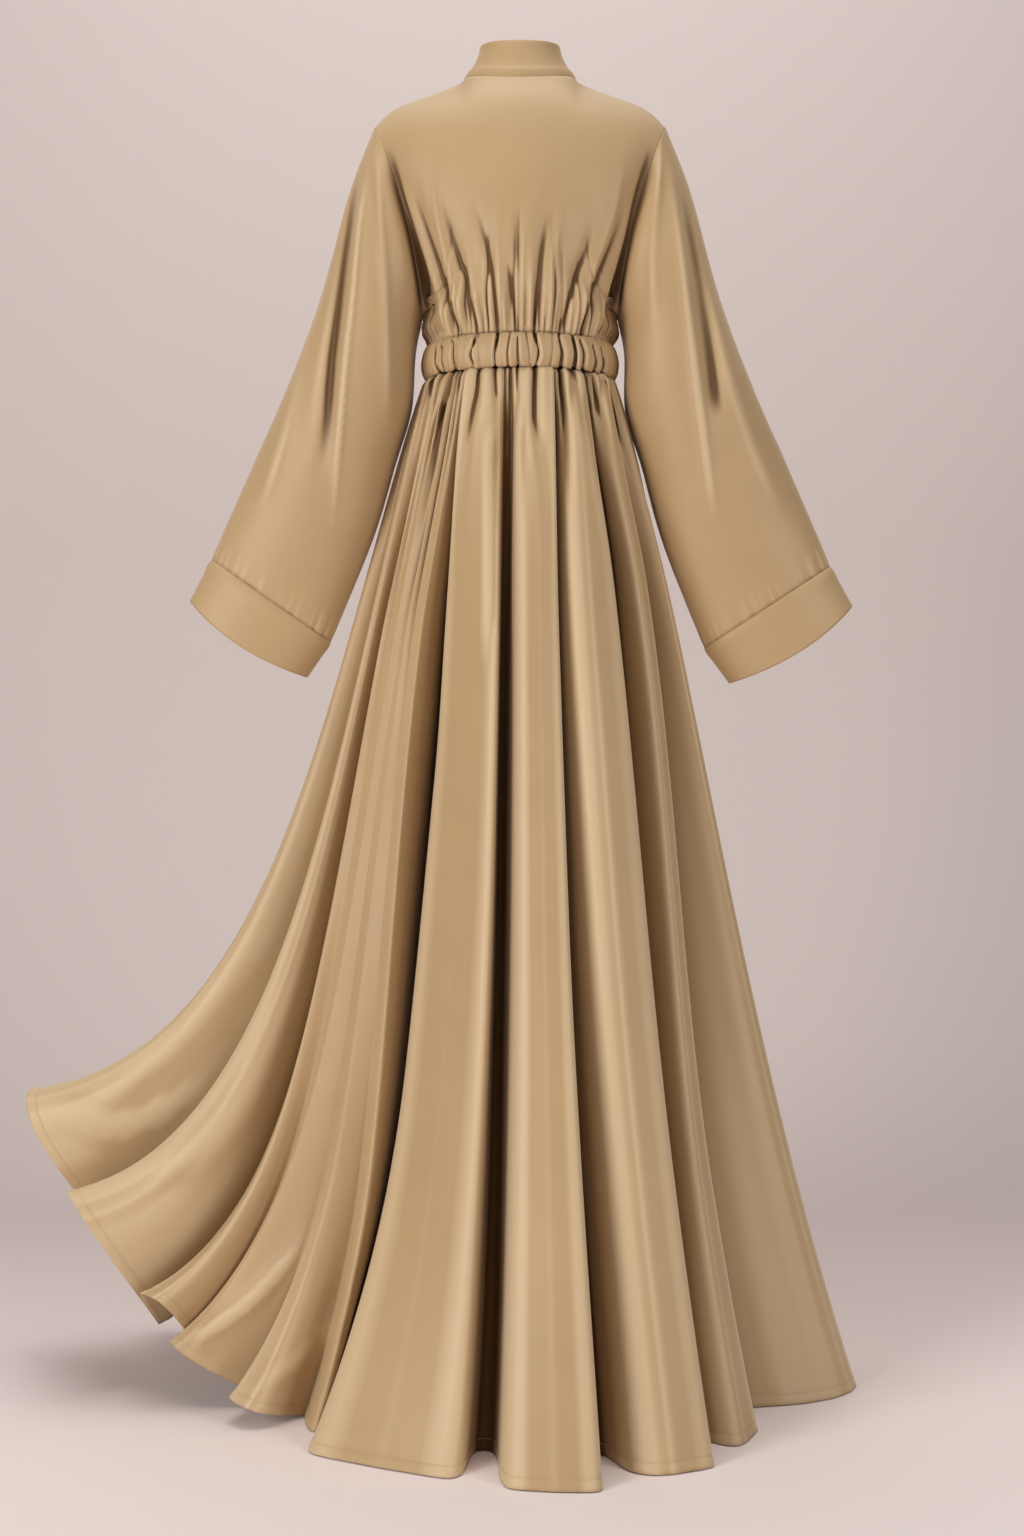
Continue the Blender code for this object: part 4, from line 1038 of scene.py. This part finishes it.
# The folds between these two lie in one broad panel. They follow its sweep and not their own, and
# stand out of it only near the hem.
PANEL_FIRST, PANEL_LAST, PANEL_PARTS_LATE = 2, 5, 3.5
print(len(SKIRT_FOLDS), "folds round the skirt")

# %% [markdown]
# ## The section of a fold
# Seen from above, one edge of a fold can be round and the other a knife edge that laps over its
# valley. A height that depends on the way across can't lap over itself, so the two profiles give both
# the way across and the depth of each step, and each edge of a fold is a blend of the two.

# %% Half a fold from its ridge to a valley
KNIFE_PROFILE = (
    # step   across  depth
    (0.000, 0.000, 1.000),
    (0.100, 0.170, 0.990),
    (0.190, 0.340, 0.970),
    (0.235, 0.405, 0.930),
    (0.270, 0.432, 0.820),
    (0.310, 0.438, 0.640),
    (0.370, 0.425, 0.300),
    (0.430, 0.440, 0.060),
    (0.500, 0.500, -0.020),
)
ROUND_PROFILE = (
    (0.000, 0.000, 1.000),
    (0.125, 0.150, 0.900),
    (0.250, 0.290, 0.560),
    (0.375, 0.400, 0.170),
    (0.500, 0.500, 0.000),
)
FOLD_COLUMNS = 32


def fold_section(sharp_before, sharp_after):
    """Across and depth of one fold from valley to valley, FOLD_COLUMNS steps."""
    half = np.linspace(0.0, 0.5, FOLD_COLUMNS // 2 + 1)
    knife, soft = read_curve(KNIFE_PROFILE, half), read_curve(ROUND_PROFILE, half)
    before = soft + (knife - soft) * sharp_before
    after = soft + (knife - soft) * sharp_after
    across = np.concatenate([0.5 - before[::-1, 0], 0.5 + after[1:, 0]])
    depth = np.concatenate([before[::-1, 1], after[1:, 1]])
    return across, depth


# %% [markdown]
# ## Ridges, valleys and the ring between them
# Each ridge and valley is a Bezier curve from the waist to the hem, as cloth hangs straight down first
# and spreads later. Straight lines would make a pleated lampshade of it. The ring of folds is read
# between these curves, row by row, with closer rows at the hem for its turned edge.

# %% The way of a ridge or a valley
SKIRT_ROWS = 126
HEM_SHARES = (0.9850, 0.9880, 0.9900, 0.9912, 0.9925, 0.9945, 0.9975, 1.0)


def fold_line(start, end, sweep, share):
    """The way of one ridge or valley from the waist to the hem, a cubic Bezier curve."""
    side_near, side_far = 0.34 - 0.09 * sweep, 0.47 - 0.12 * sweep
    drop_near, drop_far = 0.25 + 0.15 * sweep, 0.60 + 0.35 * sweep
    reach = end - start
    near = start + reach * (side_near, side_near, drop_near)
    far = start + reach * (side_far, side_far, drop_far)
    t = share[:, None]
    return (1 - t) ** 3 * start + 3 * t * (1 - t) ** 2 * near + 3 * t**2 * (1 - t) * far + t**3 * end


def slide_shape(share):
    """0 at the waist and at the hem, 1 where the skirt spreads over the hips and below them."""
    return smooth(share / 0.25) * (1.0 - smooth((share - 0.25) / 0.55))


def middle_shape(share):
    """0 at the waist and at the hem, 1 in between."""
    return smooth(share / 0.35) * (1.0 - smooth((share - 0.6) / 0.4))


# %% Ridges and valleys of the whole skirt
def at_hem(x, y, lift):
    """A point of the hem."""
    return np.array([x, y, lift - SHOULDER_TO_FLOOR])


def ridge_lines(turns, share):
    """The ridge of every fold, each from its own turn at the waist."""
    ridges = []
    for fold, turn in zip(SKIRT_FOLDS, turns):
        waist = waist_ring(np.array([turn]), CASING_BOTTOM_Z, WAIST_FOLD_HEIGHT)[0]
        hem = at_hem(fold.ridge_x, fold.ridge_y, fold.ridge_lift)
        ridges.append(fold_line(waist, hem, fold.sweep, share))
    down = share[:, None]
    for index in range(PANEL_FIRST + 1, PANEL_LAST):
        part = (index - PANEL_FIRST) / (PANEL_LAST - PANEL_FIRST)
        panel = ridges[PANEL_FIRST] + (ridges[PANEL_LAST] - ridges[PANEL_FIRST]) * part
        own_start, own_end = ridges[index][0] - panel[0], ridges[index][-1] - panel[-1]
        ridges[index] = panel + own_start * (1 - smooth(down / 0.3)) + own_end * down**PANEL_PARTS_LATE
    slid = []
    for index, fold in enumerate(SKIRT_FOLDS):
        toward = ridges[(index + (1 if fold.slide > 0 else -1)) % len(ridges)]
        slid.append(ridges[index] + (toward - ridges[index]) * abs(fold.slide) * slide_shape(down))
        slid[-1][:, 0] += FOLD_SHIFTS.get(index, NO_SHIFT)[0] * middle_shape(share)
    return slid


def valley_lines(ridges, turns, share):
    """The valley after every fold."""
    valleys = []
    down = share[:, None]
    for index, fold in enumerate(SKIRT_FOLDS):
        between = (ridges[index] + ridges[(index + 1) % len(ridges)]) / 2
        start = waist_ring(turns[index : index + 1], CASING_BOTTOM_Z, -WAIST_FOLD_HEIGHT)[0] - between[0]
        end = at_hem(fold.valley_x, fold.valley_y, fold.valley_lift) - between[-1]
        valley = between + start * (1 - smooth(down / 0.3)) + end * down**fold.deepens
        valley[:, :2] += np.outer(middle_shape(share), FOLD_SHIFTS.get(index, NO_SHIFT)[1:])
        valleys.append(valley)
    return valleys


# %% The ring of folds
def skirt_ring():
    """The whole skirt as one ring of folds, smooth but for its folds."""
    share = np.concatenate([HEM_SHARES[0] * np.linspace(0.0, 1.0, SKIRT_ROWS + 1) ** 1.25, HEM_SHARES[1:]])
    turns = np.unwrap(np.radians([fold.waist for fold in SKIRT_FOLDS]))
    next_turns = np.append(turns[1:], turns[0] + 2 * math.pi)
    ridges = ridge_lines(turns, share)
    valleys = valley_lines(ridges, (turns + next_turns) / 2, share)
    net = np.zeros((len(share), len(ridges) * FOLD_COLUMNS, 3))
    for index, fold in enumerate(SKIRT_FOLDS):
        before, after, ridge = valleys[index - 1], valleys[index], ridges[index]
        across, depth = fold_section(fold.before, fold.after)
        for step in range(FOLD_COLUMNS):
            side = np.sign(step - FOLD_COLUMNS // 2)
            valley = before if side < 0 else after
            straight = ridge * depth[step] + valley * (1 - depth[step])
            bulge = across[step] - 0.5 - side * (1 - depth[step]) / 2
            in_panel = PANEL_FIRST < index + side / 2 < PANEL_LAST
            fullness = share[:, None] ** PANEL_PARTS_LATE if in_panel else 1.0
            net[:, index * FOLD_COLUMNS + step] = straight + (after - before) * bulge * fullness
    return net, share


# %% [markdown]
# ## Gathers, slack creases and the hem
# Below its waist seam the skirt is drawn up in many small gathers that run together into the folds.
# The train sags in wide slack creases, and the hem is turned up once. All of it could come from one
# noise texture, but gathers start at a seam and creases follow the pull of the cloth. So gathers get
# uneven places, depths and lengths from a fixed seed, and the ones that stand out are drawn one by one.

# %% Creases of the skirt
HEM_WIDTH = 0.0115
SKIRT_GATHERS = 84
# Slack creases of the train, and last the dip beside the middle fold.
SKIRT_CREASES = (
    # height, half widths, points
    (5, 17, 17, ((567, -1184), (527, -1210), (494, -1223), (466, -1228), (434, -1218), (397, -1198),
            (351, -1170))),
    (-5, 28, 28, ((285, -1004), (332, -1086), (401, -1162), (471, -1207))),
    (4, 20, 20, ((266, -1013), (295, -1101), (323, -1184), (356, -1230), (401, -1268), (448, -1286))),
    (6, 12, 12, ((239, -1286), (257, -1360), (285, -1400), (323, -1437), (364, -1465), (399, -1479))),
    (4, 12, 12, ((188, -1426), (202, -1444), (239, -1481), (276, -1514), (320, -1538))),
    (-9, 5, 6, ((34, -700), (30, -600), (29, -480), (27, -400))),
)
# Gathers under the waist, seen from behind, each from its faded end up to the seam.
GATHER_CREASES = (
    # height, half widths, points
    (-7, 5.6, 3, ((119, -407), (109, -376), (101, -350))),
    (-8, 5.6, 4, ((112, -415), (98, -372), (90, -345))),
    (-10, 5, 4, ((116, -581), (112, -493), (106, -456), (100, -426), (91, -392), (83, -370), (76, -340))),
    (-7, 5, 3, ((78, -385), (73, -365), (68, -340))),
    (-9, 6.8, 4, ((64, -450), (53, -392), (48, -362), (47, -336))),
    (-10, 5.6, 4, ((27, -500), (27, -392), (28, -362), (29, -334))),
    (-9, 5, 3, ((10, -580), (9, -493), (7, -428), (3, -372), (3, -334))),
    (-9, 6.2, 4, ((-19, -470), (-18, -419), (-16, -392), (-17, -334))),
    (-10, 5.9, 4, ((-56, -520), (-55, -456), (-52, -392), (-48, -362), (-46, -334))),
    (-8, 5.9, 4, ((-76, -440), (-67, -366), (-62, -338))),
    (-9, 4, 3, ((-106, -560), (-100, -512), (-91, -456), (-84, -407), (-78, -370), (-75, -340))),
    (-6, 4, 3, ((-86, -378), (-84, -368), (-82, -345))),
    (-8, 6.2, 3, ((-113, -475), (-98, -404), (-92, -377), (-87, -350))),
    (-7, 5.6, 3, ((-130, -465), (-119, -430), (-108, -392), (-97, -352))),
)


# %% Gathers below the waist seam
def gather_heights(columns, share):
    """Gathers below the waist seam: dips with their own places, depths and lengths."""
    folds = len(SKIRT_FOLDS)
    place = np.arange(columns) / FOLD_COLUMNS
    pick = np.random.default_rng(8)
    starts = uneven_places(SKIRT_GATHERS, 0.5, 21) * folds
    depths = 0.0022 + 0.0038 * pick.random(SKIRT_GATHERS)
    lengths = 0.12 + 0.36 * pick.random(SKIRT_GATHERS) ** 1.4
    lift = np.zeros((len(share), columns))
    for start, depth, length in zip(starts, depths, lengths):
        drift = (np.rint(start) - start) * 0.5
        centre = start + drift * smooth(share / length)
        gap = np.abs(place[None, :] - centre[:, None])
        gap = np.minimum(gap, folds - gap)
        half_width = 0.060 + 0.08 * smooth(share / length)[:, None]
        fade = (1.0 - smooth(share / length))[:, None]
        lift -= depth * fade * np.exp(-((gap / half_width) ** 2))
    return lift + 0.002 * (1.0 - smooth(share / 0.2))[:, None]


# %% The skirt with its gathers and its hem
def skirt_net():
    """The ring of folds with its gathers and creases."""
    net, share = skirt_ring()
    closed = np.concatenate([net, net[:, :1]], axis=1)
    normals = net_normals(closed, ring=True)
    outward = unit(closed[0] * (1.0, 1.0, 0.0))
    gathers = np.concatenate([gather_heights(net.shape[1], share)] * 2, axis=1)[:, : net.shape[1] + 1]
    seen = crease_heights(closed, None, SKIRT_CREASES, 1, (0.35, 0.2))
    seen += crease_heights(closed, None, GATHER_CREASES, 1, (0.7, 0.0))
    seen -= crease_heights(closed, None, mirrored(GATHER_CREASES, -3), -1, (0.7, 0.0))
    steps = np.linalg.norm(np.diff(closed[::-1], axis=0), axis=-1)
    from_hem = np.concatenate([np.zeros_like(steps[:1]), np.cumsum(steps, axis=0)])[::-1]
    groove = np.exp(-(((from_hem - HEM_WIDTH) / 0.002) ** 2))
    hem = 0.0003 * smooth((HEM_WIDTH - from_hem) / 0.002) - 0.0005 * groove
    tuck = -0.003 * (1.0 - smooth(share / 0.006))
    closed = closed + normals * hem[:, :, None] + outward[None] * (gathers + tuck[:, None])[:, :, None]
    closed[:, :, 1] += seen
    return closed[:, :-1], share, seen * np.sign(closed[:, :, 1])


skirt, skirt_share, skirt_seen = skirt_net()
print("skirt net:", skirt.shape[0], "rows,", skirt.shape[1], "columns")

# %% [markdown]
# ## Crests and valleys of the skirt
# The relief of the skirt gives painted shade in its valleys and, with its edges, painted highlights.
# The folds grow wider from the waist to the hem, so the height that counts as a crest grows too. Small
# gathers count only near the waist. The creases add their own relief, as they are too wide and soft
# for the comparison with the neighbours.

# %% Relief of the skirt
SKIRT_REACH, FOLD_HEIGHT_AT_WAIST, FOLD_HEIGHT_GROWS = 12, 0.0032, 0.034
GATHER_PAINTED_SHADE, CREASE_PAINTED_SHADE = 0.8, 14.0
whole = np.concatenate([skirt, skirt[:, :1]], axis=1)
fold_height = (FOLD_HEIGHT_AT_WAIST + FOLD_HEIGHT_GROWS * skirt_share)[:, None]
gathered = GATHER_PAINTED_SHADE * (1.0 - smooth(skirt_share[:, None] / 0.5))
relief, edge = cloth_relief(whole, SKIRT_REACH, fold_height, True, gathered)
skirt_relief = [marks[:, :-1] for marks in (relief + CREASE_PAINTED_SHADE * skirt_seen, edge)]

# %% [markdown]
# ## Cutting the skirt
# A maker cuts the skirt into a back and two fronts, with seams at the sides and an open centre front.
# Here the finished ring is cut between columns, at the side seams and at the centre front fold, so
# that the folds run on across each seam. The ring is laid out twice, because the back passes its end.

# %% The back and the two fronts of the skirt
count = skirt.shape[1]
ring = np.concatenate([skirt, skirt, skirt[:, :1]], axis=1)
ring_relief = [np.concatenate([marks, marks, marks[:, :1]], axis=1) for marks in skirt_relief]
left_seam = LEFT_SEAM_FOLD * FOLD_COLUMNS + count
right_seam = RIGHT_SEAM_FOLD * FOLD_COLUMNS
centre_front = CENTRE_FRONT_FOLD * FOLD_COLUMNS + FOLD_COLUMNS // 2
SKIRT_PIECES = (
    # node, first column, last column, flat width, flat length, area
    ("skirt_back", left_seam, right_seam + count, 2.60, 1.30, 1.40),
    ("skirt_front_right", right_seam, centre_front, 0.95, 1.20, 0.57),
    ("skirt_front_left", centre_front, left_seam, 1.15, 1.25, 0.61),
)
for node, first, last, width, length, area in SKIRT_PIECES:
    part = ring[:, first : last + 1]
    marks = [values[:, first : last + 1] for values in ring_relief]
    piece = cloth_shell(node + "_shell", part, crepe, relief=marks)
    hem_line = line_on_net(part, net_normals(part), HEM_WIDTH)
    stitches = sew(node + "_stitches", (hem_line,), CLOTH / 2)
    dress(piece, node)

# %% [markdown]
# ## Studio paper
# The garment stands on paper that sweeps up behind it without an edge. A plain floor and a wall would
# show a line where they meet. The paper is painted darker from the floor in front to the wall, a
# painted shade for the light that falls off, and a node reads that from Object coordinates.

# %% Paper with a slow painted shade from the floor to the wall
FLOOR_Z = -SHOULDER_TO_FLOOR - 0.0012
PAPER_LIT_FLOOR, PAPER_SHADED_WALL = (0.90, 0.800, 0.785, 1.0), (0.66, 0.580, 0.560, 1.0)


def paper_material(name, low, high):
    """A matt paper with painted shade: darker from the floor in front to the wall behind."""
    made, nodes, link, shader = new_material(name, {"Roughness": 0.9, "Specular IOR Level": 0.1})
    place = add_node(nodes, "TexCoord")
    split = add_node(nodes, "SeparateXYZ")
    link(place.outputs["Object"], split.inputs["Vector"])
    along = add_node(nodes, "Math", operation="SUBTRACT")
    link(split.outputs["Z"], along.inputs[0])
    link(split.outputs["Y"], along.inputs[1])
    from_to = {"From Min": FLOOR_Z - 0.3, "From Max": FLOOR_Z + 1.1}
    level = add_node(nodes, "MapRange", from_to, interpolation_type="SMOOTHSTEP")
    link(along.outputs["Value"], level.inputs["Value"])
    tone = add_node(nodes, "Mix", {FIRST_COLOUR: low, SECOND_COLOUR: high}, data_type="RGBA")
    link(level.outputs["Result"], tone.inputs["Factor"])
    link(tone.outputs[MIXED], shader.inputs["Base Color"])
    return made


# %% The swept sheet
def make_sweep():
    """Floor and backdrop in one swept sheet."""
    near, bend_start, bend, bend_steps, height, width = 4.5, -0.9, 1.2, 16, 5.0, 16.0
    profile = [(near, 0.0), (bend_start, 0.0)]
    for step in range(1, bend_steps + 1):
        angle = math.radians(90) * step / bend_steps
        profile.append((bend_start - bend * math.sin(angle), bend * (1 - math.cos(angle))))
    profile.append((bend_start - bend, height))
    bm = bmesh.new()
    bmesh.ops.create_grid(bm, x_segments=2, y_segments=len(profile) - 1, size=0.5)
    for vert in bm.verts:
        y, z = profile[round((0.5 - vert.co.y) * (len(profile) - 1))]
        vert.co = (vert.co.x * width, y, FLOOR_Z + z)
    bmesh.ops.recalc_face_normals(bm, faces=bm.faces[:])
    mesh = finished_mesh("studio_sweep", bm, paper_material("studio paper", PAPER_LIT_FLOOR, PAPER_SHADED_WALL))
    mesh.shade_smooth()
    place_object("studio_sweep", mesh)


make_sweep()

# %% [markdown]
# ## Lights
# A large soft light stands at shoulder height on the wearer's left, and a weaker one on the other
# side, so that each fold has a light and a dark flank. One lights the shoulders from above and one
# washes the paper behind. A picture of a sky could light it too, but these four can be moved singly.


# %% Four softboxes and a dim world
def area_light(name, place, target, size, power, tint):
    """A square softbox that looks at a point."""
    data = bpy.data.lights.new(name, "AREA")
    data.shape = "SQUARE"
    data.size = size
    data.energy = power
    data.color = tint
    lamp = place_object(name, data)
    lamp.location = place
    lamp.rotation_euler = (Vector(target) - Vector(place)).to_track_quat("-Z", "Y").to_euler()


CENTRE = (0.0, 0.0, -0.75)
area_light("key", (2.7, 3.0, -0.05), CENTRE, 1.5, 101.0, (1.0, 0.97, 0.94))
area_light("fill", (-2.6, 2.6, 0.2), CENTRE, 1.4, 42.0, (1.0, 0.97, 0.94))
area_light("overhead", (0.0, 0.5, 2.1), (0.0, 0.0, -0.2), 1.6, 29.0, (1.0, 0.98, 0.96))
area_light("backdrop", (0.0, -0.7, 2.6), (0.0, -2.3, -0.4), 2.2, 40.0, (1.0, 0.99, 0.98))

world = bpy.data.worlds.new("studio")
bpy.context.scene.world = world
world.use_nodes = True
world.node_tree.nodes["Background"].inputs["Color"].default_value = (0.95, 0.93, 0.92, 1.0)
world.node_tree.nodes["Background"].inputs["Strength"].default_value = 0.07
bpy.context.scene.view_settings.view_transform = "Standard"

# %% [markdown]
# ## Camera
# The camera stands 2.5 m behind the garment, level, and as high as its middle, so that the upright
# lines of the garment stay upright.

# %% Camera behind the garment
LENS_MM, SENSOR_MM = 50.0, 36.0
camera_data = bpy.data.cameras.new("camera")
camera_data.lens = LENS_MM
camera_data.sensor_fit = "VERTICAL"
camera_data.sensor_height = SENSOR_MM
camera_data.clip_start = 0.05
camera_data.dof.use_dof = False
camera = place_object("camera", camera_data)
camera.location = (CAMERA_X, CAMERA_DISTANCE, CAMERA_HEIGHT - SHOULDER_TO_FLOOR)
camera.rotation_euler = (math.radians(90), 0.0, math.radians(180))
bpy.context.scene.camera = camera
